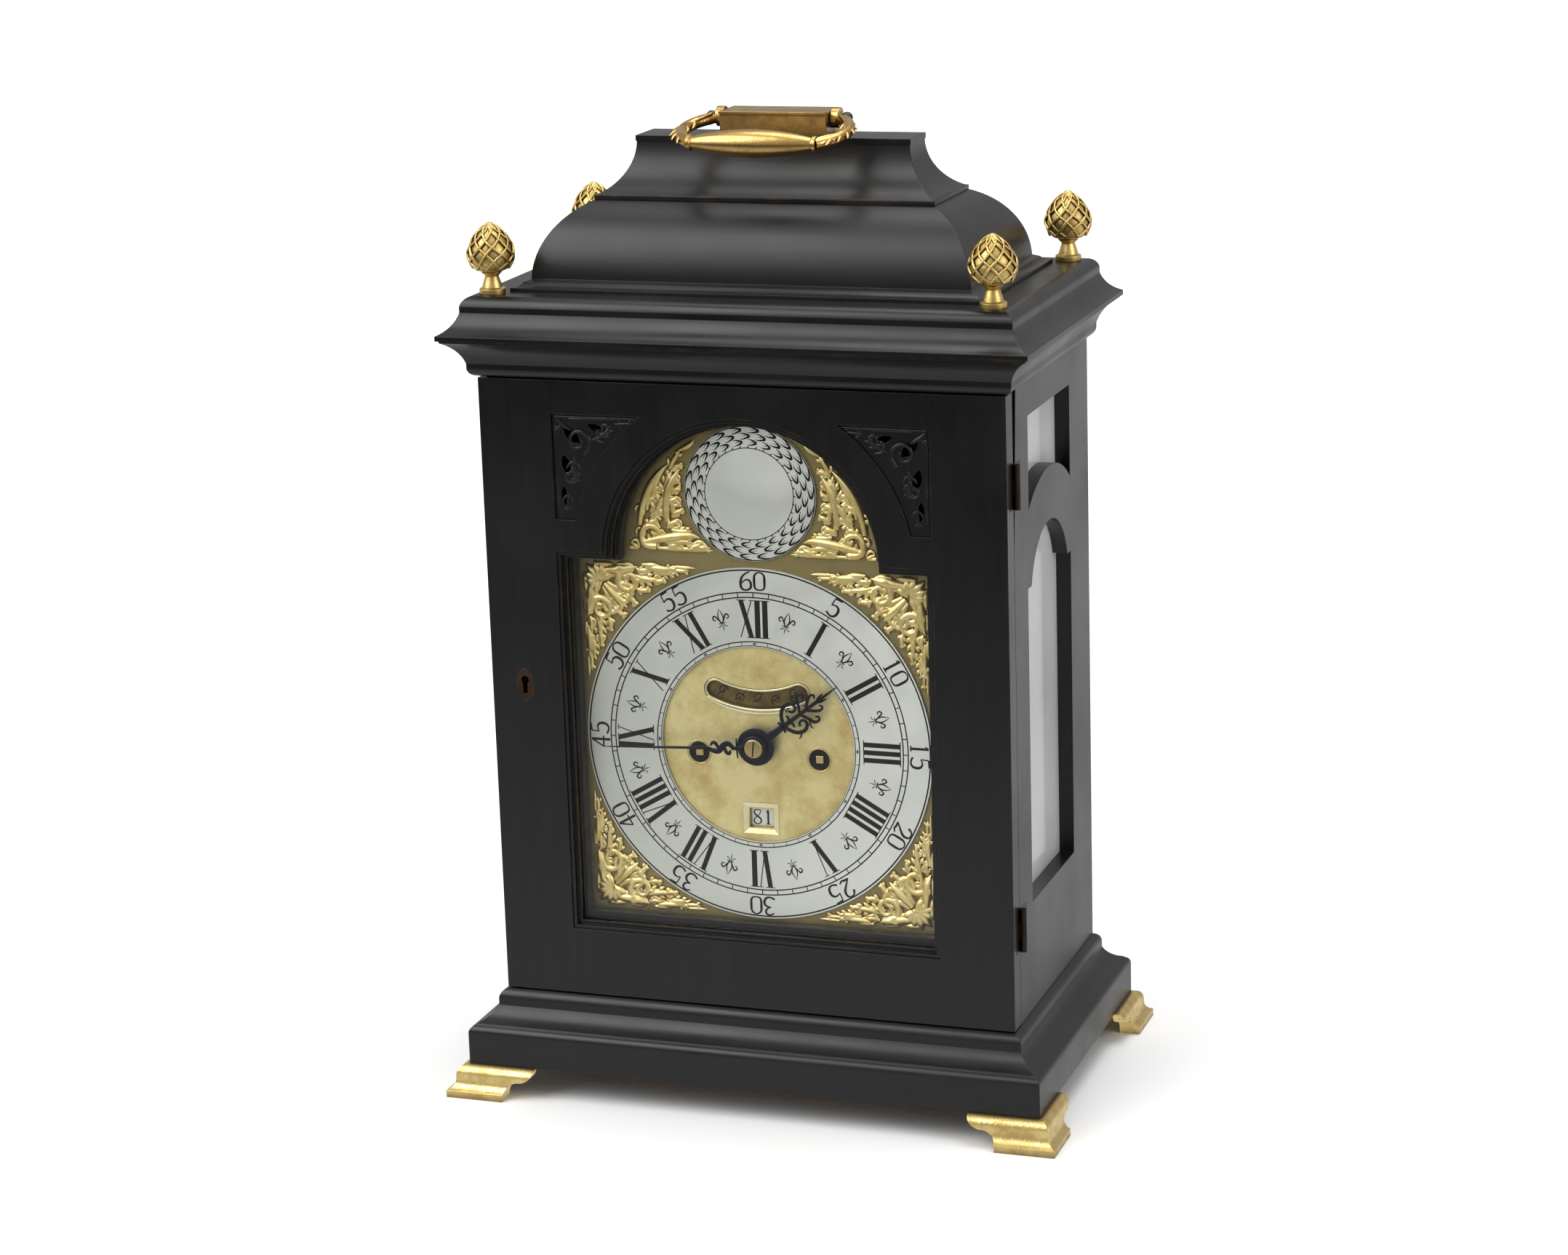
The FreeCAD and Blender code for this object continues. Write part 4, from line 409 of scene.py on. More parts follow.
# %% Steels, iron and wax
def worked_metal(name, colour, other, rough, metal=1.0):
    material, tree, shader = new_material(name)
    old = use_group(tree, tarnish_and_shade_group, Reach=0.0012, Patch_Scale=60.0)
    worn = use_group(tree, wear_group, Amount=0.6, Rounding=0.0002)
    bump = add(tree, "ShaderNodeBump", Strength=0.3, Distance=0.00008, Height=old["Fine"],
               Normal=worn["Rounded Normal"])
    feed(tree, shader, blend_colours(tree, old["Patch"], colour, other),
         between(tree, old["Fine"], 0.3, 0.7, *rough), bump, metal)
    return material


blued = worked_metal("blued steel", (0.012, 0.014, 0.024, 1), (0.02, 0.022, 0.032, 1), (0.3, 0.42))
steel = worked_metal("steel", (0.55, 0.55, 0.54, 1), (0.4, 0.39, 0.37, 1), (0.25, 0.4))
iron = worked_metal("dark iron", (0.09, 0.085, 0.08, 1), (0.05, 0.042, 0.036, 1), (0.35, 0.5))
# The same black also fills the winding holes and the collet's slot as painted shade.
black_wax_and_shade = worked_metal("black wax", (0.004, 0.004, 0.0035, 1), (0.012, 0.011, 0.009, 1), (0.5, 0.65), 0.0)
black_wax_and_shade.node_tree.nodes["Principled BSDF"].inputs["Specular IOR Level"].default_value = 0.15
print("metal finishes ready")

# %% [markdown]
# ### Glass
# Old crown glass is slightly uneven. Its reflection is kept low, because the dial behind it reads dark and
# clear. A refracting pane would throw a solid shadow on the dial, so light on its way to a lamp passes
# straight through: a Light Path node gives shadow rays and soft light a Transparent shader instead.

# %% Window glass
glass, tree, shader = new_material("window glass")
where = own_place(tree)
waves, dust = noise(tree, where, 18.0, 2.0), noise(tree, where, 90.0, 6.0)
bump = add(tree, "ShaderNodeBump", Strength=0.03, Distance=0.0002, Height=waves)
tree.links.new(between(tree, dust, 0.5, 0.8, 0.0, 0.012), shader.inputs["Roughness"])
tree.links.new(bump.outputs[0], shader.inputs["Normal"])
shader.inputs["Base Color"].default_value = (0.985, 0.99, 0.985, 1)
shader.inputs["Transmission Weight"].default_value = 1.0
shader.inputs["IOR"].default_value = 1.3
rays = add(tree, "ShaderNodeLightPath")
clear = add(tree, "ShaderNodeBsdfTransparent", Color=(0.94, 0.95, 0.94, 1))
passing = maths(tree, "MAXIMUM", rays.outputs["Is Shadow Ray"], rays.outputs["Is Diffuse Ray"])
pane = add(tree, "ShaderNodeMixShader", at_0=passing, at_1=shader.outputs[0], at_2=clear.outputs[0])
tree.links.new(pane.outputs[0], tree.nodes["Material Output"].inputs["Surface"])
print("finish", glass.name)

# %% [markdown]
# The panes in the sides are seen at a slant and show pale: partly a film of dust and polish, partly a painted
# reflection of the white paper, put in as a white diffuse layer. They are the same glass with that white
# layer over it, thicker in some places than in others. It shows more when the pane is looked along than when
# it is looked through, and a Layer Weight node gives it that.

# %% Glass with a film and a painted reflection on it
glass_with_film_and_painted_reflection = glass.copy()
glass_with_film_and_painted_reflection.name = "glass with film and painted reflection"
tree = glass_with_film_and_painted_reflection.node_tree
film_and_painted_reflection = add(tree, "ShaderNodeBsdfDiffuse", Color=(0.86, 0.86, 0.86, 1))
clouds = noise(tree, own_place(tree), 9.0, 4.0)
ending = tree.nodes["Material Output"].inputs["Surface"]
pane_shader = ending.links[0].from_socket
slant = add(tree, "ShaderNodeLayerWeight", Blend=0.5)
# The white layer is partly dust film and partly painted reflection, stronger where the pane is seen at a
# slant.
thickness = maths(tree, "MULTIPLY", between(tree, clouds, 0.3, 0.7, 0.8, 1.2),
                  between(tree, slant.outputs["Facing"], 0.25, 0.68, 0.04, 0.42))
covered = add(tree, "ShaderNodeMixShader", at_0=thickness, at_1=pane_shader, at_2=film_and_painted_reflection.outputs[0])
tree.links.new(covered.outputs[0], ending)
print("finish", glass_with_film_and_painted_reflection.name)

# %% [markdown]
# ## Finishing the measured pieces
# Each measured piece gets its finish by name. The wood is split three ways by the run of its grain.

# %% Give every measured piece its finish
finishes = {
    upright_wood: ["door_frame", "back_door", "side_panel_left", "side_panel_right", "case_rails",
                   "door_frets"],
    long_wood: ["base_moulding", "cornice_moulding", "bell_ovolo", "bell_cavetto", "top_board",
                "glazing_bead", "dial_mask"],
    deep_wood: ["bell_boards", "seat_board"],
    oak: ["base_board"],
    foot_gilt: ["bracket_feet"],
    finial_gilt: ["finials"],
    casting_gilt: ["corner_castings", "arch_castings"],
    handle_brass: ["carry_handle"],
    block_brass: ["handle_plinth"],
    plate_brass: ["front_plate", "back_plate", "movement_pillars", "pendulum_cock", "bell_stand",
                  "dial_fixings", "lock_case", "minute_wheel", "cannon_wheel", "hour_wheel", "going_barrel",
                  "strike_barrel", "going_fusee", "strike_fusee", "third_wheel", "escape_wheel", "pendulum",
                  "hand_collet"],
    dark_bronze: ["escutcheon"],
    blackened_brass: ["door_hinge_leaves", "back_door_hinge_leaves", "case_hinge_leaves"],
    bell_bronze: ["strike_bell"],
    silvered: ["chapter_ring", "dial_boss", "date_disc"],
    matted: ["dial_plate"],
    blued: ["minute_hand", "hour_hand"],
    steel: ["lock_bolt", "centre_arbor", "pallet_arbor", "strike_hammer"],
    iron: ["handle_pins"],
    glass: ["door_glass", "back_door_glass"],
    glass_with_film_and_painted_reflection: ["side_glass"],
}
finished = set()
for finish, names in finishes.items():
    for name in names:
        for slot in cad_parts[name].material_slots:
            slot.material = finish
        finished.add(name)
print(len(finished), "pieces finished, left:", sorted(set(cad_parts) - finished))

# %% [markdown]
# ## The photograph's view
# The clock was photographed with a long lens, a little from its right and from above. The lines of its case
# and dial gave the angles: 19 degrees round, 15 up, and a small roll. An image 2156 pixels wide needs a lens
# of 87.6 mm to match how the lines draw together.

# %% Camera
turn, rise, roll = math.radians(19.27), math.radians(14.68), math.radians(-1.77)
looks_at = Vector((-8.83, 10.4, 207.68)) * mm
distance, lens_length = 1781.05, 87.63
backwards = Vector((math.sin(turn) * math.cos(rise), -math.cos(turn) * math.cos(rise), math.sin(rise)))
level_right = (-backwards).cross(Vector((0, 0, 1))).normalized()
level_up = level_right.cross(-backwards)
right = level_right * math.cos(roll) + level_up * math.sin(roll)
up = level_up * math.cos(roll) - level_right * math.sin(roll)
camera_data = bpy.data.cameras.new("photo view")
camera_data.lens = lens_length
camera_data.sensor_width = 36.0
camera_data.clip_end = 100.0
camera = bpy.data.objects.new("photo view", camera_data)
bpy.context.scene.collection.objects.link(camera)
placing = Matrix((right, up, backwards)).transposed().to_4x4()
placing.translation = looks_at + backwards * distance * mm
camera.matrix_world = placing
bpy.context.scene.camera = camera
bpy.context.scene.view_settings.view_transform = "Standard"
print("camera at", camera.matrix_world.translation)

# %% [markdown]
# ## The table and the light
# The clock stands on white paper that runs up behind it, so the background is white and a soft shadow gathers
# under the feet. In front the paper ends, and the polished black of the case reflects the dark room beyond
# it: its front is lighter near the table than near the top. The floor repeats that. Camera rays see it glow
# white, and the glow is weaker near the clock and cut where Ambient Occlusion finds the clock above it, which
# paints the shadow under the feet into the glow. Reflections see it fade to dark in front of the clock.

# %% Floor
bpy.ops.mesh.primitive_grid_add(x_subdivisions=8, y_subdivisions=8, size=40.0, location=(0, 0, 0))
floor = bpy.context.object
floor.name = "floor"
paper, tree, shader = new_material("white paper")
where = own_place(tree)
fibres = noise(tree, where, 300.0, 3.0)
tree.links.new(blend_colours(tree, fibres, (0.8, 0.8, 0.8, 1), (0.84, 0.84, 0.84, 1)),
               shader.inputs["Base Color"])
shader.inputs["Roughness"].default_value = 0.9
shader.inputs["Specular IOR Level"].default_value = 0.0
rays = add(tree, "ShaderNodeLightPath")
seen = maths(tree, "MAXIMUM", rays.outputs["Is Camera Ray"], rays.outputs["Is Transmission Ray"])
away = add(tree, "ShaderNodeVectorMath", {"operation": "LENGTH"}, at_0=where)
glow_away_from_clock = between(tree, away.outputs["Value"], 0.35, 3.0, 0.24, 1.0)
# Painted shadow: the glow is cut where Ambient Occlusion finds the clock above the floor.
floor_occlusion = add(tree, "ShaderNodeAmbientOcclusion", {"samples": 8}, Distance=0.12)
outside_painted_shadow = between(tree, floor_occlusion.outputs["AO"], 0.2, 0.8)
glow = add(tree, "ShaderNodeEmission", Color=(1, 1, 1, 1),
           Strength=maths(tree, "MULTIPLY", seen, maths(tree, "MULTIPLY", glow_away_from_clock, outside_painted_shadow)))
lit_paper = add(tree, "ShaderNodeAddShader", at_0=shader.outputs[0], at_1=glow.outputs[0])
parts = add(tree, "ShaderNodeSeparateXYZ", Vector=where)
paper_end, room = -0.3, -1.4
beyond = between(tree, parts.outputs["Y"], paper_end, room)
dark_room = add(tree, "ShaderNodeEmission", Color=(0.03, 0.03, 0.03, 1), Strength=1.0)
bright_paper = add(tree, "ShaderNodeEmission", Color=(1, 1, 1, 1), Strength=0.74)
reflected = add(tree, "ShaderNodeMixShader", at_0=beyond, at_1=bright_paper.outputs[0],
                at_2=dark_room.outputs[0])
sheet = add(tree, "ShaderNodeMixShader", at_0=rays.outputs["Is Glossy Ray"], at_1=lit_paper.outputs[0],
            at_2=reflected.outputs[0])
tree.links.new(sheet.outputs[0], tree.nodes["Material Output"].inputs["Surface"])
floor.data.materials.append(paper)
print("floor laid")

# %% [markdown]
# The world is white where it is seen, greyer where it is reflected, and dimmer still as a light. The three
# lamps are large and soft. The main one is high on the left in front, another hangs over the clock, and the
# weakest stands on the right.

# %% World and lamps
world = bpy.data.worlds.new("studio")
bpy.context.scene.world = world
world.use_nodes = True
tree = world.node_tree
background = tree.nodes["Background"]
background.inputs["Color"].default_value = (1, 1, 1, 1)
rays = add(tree, "ShaderNodeLightPath")
seen = maths(tree, "MAXIMUM", rays.outputs["Is Camera Ray"], rays.outputs["Is Transmission Ray"])
in_reflections, as_light = 0.44, 0.32
mirrored_light = maths(tree, "MULTIPLY", rays.outputs["Is Glossy Ray"], in_reflections)
tree.links.new(maths(tree, "MAXIMUM", maths(tree, "MAXIMUM", seen, mirrored_light), as_light),
               background.inputs["Strength"])


def softbox(name, place_at, aim, size, power):
    lamp_data = bpy.data.lights.new(name, "AREA")
    lamp_data.shape = "RECTANGLE"
    lamp_data.size, lamp_data.size_y = size
    lamp_data.energy = power
    lamp = bpy.data.objects.new(name, lamp_data)
    bpy.context.scene.collection.objects.link(lamp)
    towards = Vector(aim) - Vector(place_at)
    facing = towards.to_track_quat("-Z", "Y").to_matrix().to_4x4()
    lamp.matrix_world = Matrix.Translation(place_at) @ facing


softbox("main lamp", (-1.4, -1.3, 1.9), (0, 0, 0.15), (2.0, 2.0), 46)
softbox("top lamp", (0.3, 0.4, 2.4), (0, 0, 0.0), (1.8, 1.8), 36)
softbox("side lamp", (1.9, -0.5, 1.0), (0, 0, 0.2), (1.0, 1.2), 14)
print("lamps set")

# %% [markdown]
# ## Drawing with strokes
# Engraved numbers, cut scrolls and cast leaves have one thing in common: each is a line that swells and
# tapers. So they are all drawn the same way, as a curve whose points carry their own thickness. Blender gives
# the curve a round section, it becomes a mesh, and the mesh is pressed flat: nearly to nothing for engraving,
# to a sheet for hands, and to a low relief for castings.

# %% A mesh from strokes, and a flat piece from them
def swept(name, strokes, sides, steps, closed=False):
    """Strokes are lists of (x, y, z, half width) in millimetres, in the frame's own directions."""
    bpy.ops.object.select_all(action="DESELECT")
    drawing = bpy.data.curves.new(name, "CURVE")
    drawing.dimensions = "3D"
    drawing.bevel_depth = mm
    drawing.bevel_resolution = sides
    drawing.use_fill_caps = True
    for path in strokes:
        straight = len(path) == 2
        spline = drawing.splines.new("POLY" if straight or closed else "NURBS")
        spline.points.add(len(path) - 1)
        for point, (x, y, z, half_width) in zip(spline.points, path):
            point.co = (x * mm, y * mm, z * mm, 1.0)
            point.radius = half_width
        spline.use_cyclic_u = closed
        if not (straight or closed):
            spline.order_u = 3
            spline.use_endpoint_u = True
            spline.resolution_u = steps
    drawn = bpy.data.objects.new(name, drawing)
    bpy.context.scene.collection.objects.link(drawn)
    only(drawn)
    bpy.ops.object.convert(target="MESH")
    return bpy.context.object


def dress(piece, finish, body, sharp):
    """Gives a piece its finish and body. Edges bent by more than sharp degrees stay crisp."""
    piece.data.materials.clear()
    piece.data.materials.append(finish)
    only(piece)
    bpy.ops.object.shade_smooth_by_angle(angle=math.radians(sharp))
    if body:
        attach(piece, body)


def stroke_piece(name, strokes, depth, press, finish, slot, body, limits=None, sides=1, closed=False):
    """Strokes are lists of (across, up, half width) in millimetres. Press scales the section in depth."""
    paths = [[(across, 0.0, up_by, half_width) for across, up_by, half_width in path] for path in strokes]
    drawn = swept(name, paths, sides, 3, closed)
    front, back = limits or (depth - 5.0, depth + 5.0)
    for vertex in drawn.data.vertices:
        sunk = depth + vertex.co.y / mm * press
        vertex.co.y = (min(max(sunk, front), back) - case_half_depth) * mm
    dress(drawn, finish, body, 50)
    return drawn


def engraved(name, strokes, press, depth=ring_face_depth, body="case", **how):
    """Strokes filled with black wax, in silvered brass."""
    return stroke_piece(name, strokes, depth, press, black_wax_and_shade, "silvered_brass", body, **how)


def at_angle(radius, degrees, half_width, across=0.0, centre=dial_height):
    """A point on the dial, by its distance out and its angle clockwise from twelve."""
    angle = math.radians(degrees)
    return (radius * math.sin(angle) + across * math.cos(angle),
            centre + radius * math.cos(angle) - across * math.sin(angle), half_width)


def ring_stroke(radius, half_width, centre=dial_height, count=144):
    return [at_angle(radius, 360 * i / count, half_width, centre=centre) for i in range(count)]


def turned_to(marks, degrees):
    """Marks of (across, radius, half width), turned to their place on the dial."""
    return [[at_angle(radius, degrees, half_width, across) for across, radius, half_width in mark]
            for mark in marks]


def bar(radius, degrees, middle, reach, half_width):
    """A short bar square to a line from the centre, as at the end of a numeral's stroke."""
    return [at_angle(radius, degrees, half_width, middle - reach),
            at_angle(radius, degrees, half_width, middle + reach)]


print("strokes ready")

# %% [markdown]
# ## The chapter ring
# The engraver cut the ring and filled the cuts with black wax. From the outside in come the minute numbers, a
# track of sixty minutes between two circles, the hours in Roman numerals, and a quarter-hour track. Between
# the hours stands a fleur-de-lis for the half hour.

# %% Circles and tracks
rim_circle, track_outer, track_inner = 81.5, 71.2, 68.9
quarter_outer, quarter_bar, quarter_inner = 48.4, 47.4, 46.5
circles = [ring_stroke(rim_circle, 0.36), ring_stroke(track_outer, 0.3), ring_stroke(track_inner, 0.3),
           ring_stroke(quarter_outer, 0.27), ring_stroke(quarter_inner, 0.2)]
engraved("ring_circles", circles, 0.18, sides=0, closed=True)
ticks = [[at_angle(track_inner, 6 * i, 0.26), at_angle(track_outer, 6 * i, 0.26)] for i in range(60)]
ticks += [[at_angle(quarter_inner, 7.5 * i, 0.16), at_angle(quarter_outer, 7.5 * i, 0.16)] for i in range(48)]
ticks += [bar(quarter_bar, 30 * i, 0.0, 0.9, 0.3) for i in range(12)]
print(len(circles), "circles and", len(ticks), "ticks")

# %% [markdown]
# Roman numerals have thick downstrokes and hairline upstrokes, with hairline bars across both ends. Each
# numeral is set out along its own line: an I is one thick stroke, a V and an X are a thick and a thin one
# that lean.

# %% Roman hours
numeral_inner, numeral_outer = 50.3, 67.5
thick_half, thin_half = 1.28, 0.28
letter_width = {"I": 3.6, "V": 7.0, "X": 7.2}


def roman(text, degrees):
    marks = []
    across = -sum(letter_width[letter] for letter in text) / 2
    for letter in text:
        width = letter_width[letter]
        left, right_side, middle = across + 0.9, across + width - 0.9, across + width / 2
        if letter == "I":
            pairs = [(middle, middle, thick_half)]
        elif letter == "V":
            pairs = [(middle + 0.2, left + 0.4, thick_half), (middle + 0.2, right_side, thin_half)]
        else:
            pairs = [(right_side - 0.3, left + 0.3, thick_half), (left, right_side, thin_half)]
        for low, high, half_width in pairs:
            marks.append([at_angle(numeral_inner, degrees, half_width, low),
                          at_angle(numeral_outer, degrees, half_width, high)])
            if half_width == thick_half:
                marks.append(bar(numeral_inner, degrees, low, 2.1, 0.24))
                marks.append(bar(numeral_outer, degrees, high, 2.1, 0.24))
            else:
                marks.append(bar(numeral_outer, degrees, high, 1.3, 0.2))
        across += width
    return marks


hours = ["XII", "I", "II", "III", "IIII", "V", "VI", "VII", "VIII", "IX", "X", "XI"]
hour_marks = [mark for i, text in enumerate(hours) for mark in roman(text, 30 * i)]
engraved("ring_hours", hour_marks + ticks, 0.09)
print(len(hour_marks), "strokes in twelve numerals")

# %% [markdown]
# A fleur-de-lis has a pointed middle petal, open between two curved lines, two petals that curl away from it,
# a bar that ties them, and a short stem. It is drawn once and repeated at every half hour.

# %% Half-hour marks
def fleur(degrees):
    marks = [[(0, 57.6, 0.15), (0, 56.3, 0.4), (0, 54.4, 0.04)],
             [(-1.6, 58.2, 0.24), (1.6, 58.2, 0.24)]]
    for side in (-1, 1):
        marks.append([(0.1 * side, 58.4, 0.16), (1.3 * side, 60.0, 0.36), (1.2 * side, 62.2, 0.36),
                      (0, 65.0, 0.08)])
        marks.append([(0.4 * side, 58.2, 0.16), (1.5 * side, 60.2, 0.3), (2.7 * side, 62.4, 0.46),
                      (4.1 * side, 61.2, 0.4), (3.3 * side, 59.6, 0.24), (2.6 * side, 60.3, 0.3)])
        marks.append([(0.2 * side, 58.2, 0.15), (1.0 * side, 56.4, 0.26), (2.2 * side, 56.6, 0.24)])
    return turned_to(marks, degrees)


half_marks = [mark for i in range(12) for mark in fleur(30 * i + 15)]
engraved("ring_half_hours", half_marks, 0.09)
print(len(half_marks), "strokes in the half-hour marks")

# %% [markdown]
# The minute numbers are thin and round, cut with a few turns of the graver. Each figure is a handful of
# points in a box one unit high, and the curve between them does the rest.

# %% Figures
figure = {
    "0": [[(0.3, 1, 1), (0.02, 0.95, 1.5), (0, 0.5, 2.2), (0.02, 0.05, 1.5), (0.3, 0, 1),
           (0.58, 0.05, 1.5), (0.6, 0.5, 2.2), (0.58, 0.95, 1.5), (0.3, 1, 1)]],
    "1": [[(0.16, 0.82, 0.8), (0.3, 1, 1.6)], [(0.3, 1, 2), (0.3, 0, 2)], [(0.14, 0, 1), (0.46, 0, 1)]],
    "2": [[(0.04, 0.72, 2), (0.08, 1, 1.2), (0.52, 1.05, 1.5), (0.6, 0.66, 2.2), (0.34, 0.36, 1.6),
           (0.02, 0.02, 1)],
          [(0.02, 0.02, 1.2), (0.25, 0.08, 2), (0.45, -0.02, 1.6), (0.62, 0.14, 1)]],
    "3": [[(0.06, 0.9, 1.2), (0.25, 1.05, 1.2), (0.55, 0.95, 1.8), (0.5, 0.62, 1.6), (0.22, 0.56, 1)],
          [(0.22, 0.56, 1), (0.56, 0.56, 1.8), (0.64, 0.16, 2.2), (0.3, -0.1, 1.2), (0.0, 0.1, 1.6)]],
    "4": [[(0.44, 1, 1.6), (0.02, 0.32, 1)], [(0.02, 0.32, 1.2), (0.64, 0.32, 1.2)],
          [(0.44, 1, 2), (0.44, -0.08, 2)]],
    "5": [[(0.14, 1, 1.6), (0.56, 1.02, 1.2)], [(0.14, 1, 1), (0.1, 0.56, 1)],
          [(0.1, 0.56, 1), (0.34, 0.7, 1.2), (0.62, 0.5, 2.2), (0.56, 0.06, 2), (0.24, -0.06, 1.2),
           (0.0, 0.1, 1.6)]],
    "6": [[(0.54, 1.02, 1), (0.14, 0.86, 1.4), (-0.02, 0.42, 2.2), (0.04, 0.02, 1.8), (0.34, -0.04, 1.2),
           (0.62, 0.1, 2), (0.58, 0.5, 1.8), (0.3, 0.62, 1), (0.06, 0.36, 1)]],
    "8": [[(0.56, 0.94, 1), (0.3, 1.06, 1), (0.02, 0.9, 1.5), (0.14, 0.62, 2), (0.5, 0.42, 2),
           (0.62, 0.14, 1.5), (0.3, -0.08, 1), (0.0, 0.12, 1.5), (0.12, 0.42, 1), (0.46, 0.62, 1),
           (0.56, 0.94, 1)]],
}


def figures(text, height, half_width, foot):
    """Marks for a number that stands upright at the top of the dial, its foot at a radius."""
    marks = []
    for number, digit in enumerate(text):
        start = (number - len(text) / 2) * height * 0.78 + height * 0.09
        for path in figure[digit]:
            marks.append([(start + along_by * height, foot + up_by * height, half_width * weight)
                          for along_by, up_by, weight in path])
    return marks


minute_foot, minute_height, minute_half = 72.4, 8.3, 0.33
date_foot, date_figure, date_half, date_depth = -38.4, 6.6, 0.24, 18.1
minute_marks = []
for i in range(1, 13):
    minute_marks += turned_to(figures(str(5 * i), minute_height, minute_half, minute_foot), 30 * i)
engraved("ring_minutes", minute_marks, 0.18)
date_marks = turned_to(figures("81", date_figure, date_half, date_foot), 0)
engraved("date_figures", date_marks, 0.18, date_depth, "date_disc")
print(len(minute_marks), "strokes in the minute numbers")

# %% [markdown]
# ## The boss in the arch
# The boss is a domed disc of silvered brass. It is turned like the real one: half its outline is drawn from
# the middle of the back round to the crown and spun once about its own axis, so that the dome is even up to
# its crown. A wreath of laurel runs round it, and the middle is left bare. Each stroke of the wreath takes
# its depth from the dome.

# %% Turned boss
dome_crown, dome_edge = 12.6, 14.4


def dome_depth(out):
    """The depth of the boss's face, at a distance out from its middle."""
    return dome_crown + (dome_edge - dome_crown) * (out / boss_radius) ** 2


profile = [(0.0, dial_face_depth), (boss_radius, dial_face_depth)]
profile += [(boss_radius * i / 12, dome_depth(boss_radius * i / 12)) for i in range(12, -1, -1)]
turned_mesh = bpy.data.meshes.new("boss_turned")
turned_mesh.from_pydata([place(out, depth, boss_height) for out, depth in profile],
                        [(i, i + 1) for i in range(len(profile) - 1)], [])
turned_boss = bpy.data.objects.new("boss_turned", turned_mesh)
bpy.context.scene.collection.objects.link(turned_boss)
only(turned_boss)
bpy.ops.object.mode_set(mode="EDIT")
bpy.ops.mesh.select_all(action="SELECT")
bpy.ops.mesh.spin(steps=96, angle=2 * math.pi, center=place(0, 0, boss_height), axis=(0, 1, 0))
bpy.ops.mesh.select_all(action="SELECT")
bpy.ops.mesh.remove_doubles(threshold=0.001 * mm)
bpy.ops.mesh.normals_make_consistent(inside=False)
bpy.ops.object.mode_set(mode="OBJECT")
dress(turned_boss, silvered, "case", 30)
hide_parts("dial_boss")
print("the boss has", len(turned_boss.data.polygons), "faces")

# %% [markdown]
# The leaves of the wreath lie in three rows, each hooked over the one inside it. Two thin circles close the
# wreath on both sides.

# %% Wreath on the boss
def on_boss(radius, degrees, half_width):
    return at_angle(radius, degrees, half_width, centre=boss_height)


wreath = []
leaves_round, wreath_inner, wreath_outer = 22, 20.9, 30.6
for row, (inner, outer) in enumerate(((22.0, 25.0), (24.7, 27.8), (27.5, 30.5))):
    middle_out = (inner + outer) / 2
    for i in range(leaves_round):
        here = 360 / leaves_round * (i + 0.5 * (row % 2))
        for arm in (inner, outer):
            side_of = math.copysign(0.25, middle_out - arm)
            wreath.append([on_boss(arm + side_of, here, 0.1), on_boss(arm + side_of * 0.4, here + 5.5, 0.36),
                           on_boss(middle_out, here + 10.5, 0.62)])
        wreath.append([on_boss(middle_out, here + 2.5, 0.1), on_boss(middle_out + 0.2, here + 6.5, 0.2)])
wreath += [[on_boss(wreath_inner, 10 * i, 0.42), on_boss(22.2, 10 * i + 2, 0.05)] for i in range(36)]
leaves = engraved("boss_wreath", wreath, 0.12, 0)
rims = engraved("boss_circles", [ring_stroke(wreath_inner, 0.2, boss_height),
                                 ring_stroke(wreath_outer, 0.25, boss_height)], 0.2, 0, sides=0, closed=True)
for piece in (leaves, rims):
    for vertex in piece.data.vertices:
        out = math.hypot(vertex.co.x / mm, vertex.co.z / mm - boss_height)
        vertex.co.y += dome_depth(min(out, boss_radius)) * mm
print(len(wreath), "strokes in the wreath")

# %% [markdown]
# ## Cast ornament
# The corners of the dial carry pierced castings: leaves and scrolls, chased bright and gilt, with the plate
# showing between them. They are built up the way the carver of the pattern would have drawn them. A bent
# stroke is a vein. A leaf is a vein with lobes that fan from it. A volute is a stroke that winds into an eye.

# %% Veins, leaves and volutes
def vein(x, z, heading, length, bend, thick, count=6):
    """A stroke from a point along a heading in degrees, which turns by bend degrees and tapers to a tip."""
    path = []
    for i in range(count):
        t = i / (count - 1)
        path.append((x, z, thick * (0.6 + 1.1 * t) * (1.05 - t ** 3)))
        angle = math.radians(heading + bend * t)
        x += math.cos(angle) * length / (count - 1)
        z += math.sin(angle) * length / (count - 1)
    return path


def leaf(x, z, heading, length, bend, thick, lobes=3):
    spine = vein(x, z, heading, length, bend, thick * 1.1, 8)
    strokes = [spine]
    for i in range(lobes):
        t = 0.12 + 0.62 * i / max(lobes - 1, 1)
        px, pz, _ = spine[round(t * 7)]
        size = length * (0.46 - 0.22 * t)
        for side in (-1, 1):
            strokes.append(vein(px, pz, heading + bend * t + 58 * side, size, -46 * side, thick * 0.82))
    return strokes


def volute(x, z, radius, start, turns, thick):
    """A stroke that winds in towards a centre from a start angle, and ends in a round eye."""
    path = []
    count = max(int(abs(turns) * 12), 6)
    for i in range(count + 1):
        t = i / count
        angle = math.radians(start) + turns * 2 * math.pi * t
        reach = radius * (1 - 0.78 * t)
        path.append((x + reach * math.cos(angle), z + reach * math.sin(angle), thick * (1 - 0.45 * t)))
    return [path, [(x - 0.02, z, thick * 0.9), (x, z, thick * 1.15), (x + 0.02, z, thick * 0.9)]]


print("a leaf has", len(leaf(0, 0, 0, 10, 20, 0.6)), "strokes")

# %% [markdown]
# One corner is drawn with its own corner at the top right of the dial. It is the same on both sides of its
# diagonal, so each stroke is drawn once and mirrored across that. Turned by quarter turns, it fits all four.

# %% Corner castings
half_dial, casting_depth = 82.6, 15.2
ring_gap, ring_clear, shell_clear = 83.2, 87.0, 9.0


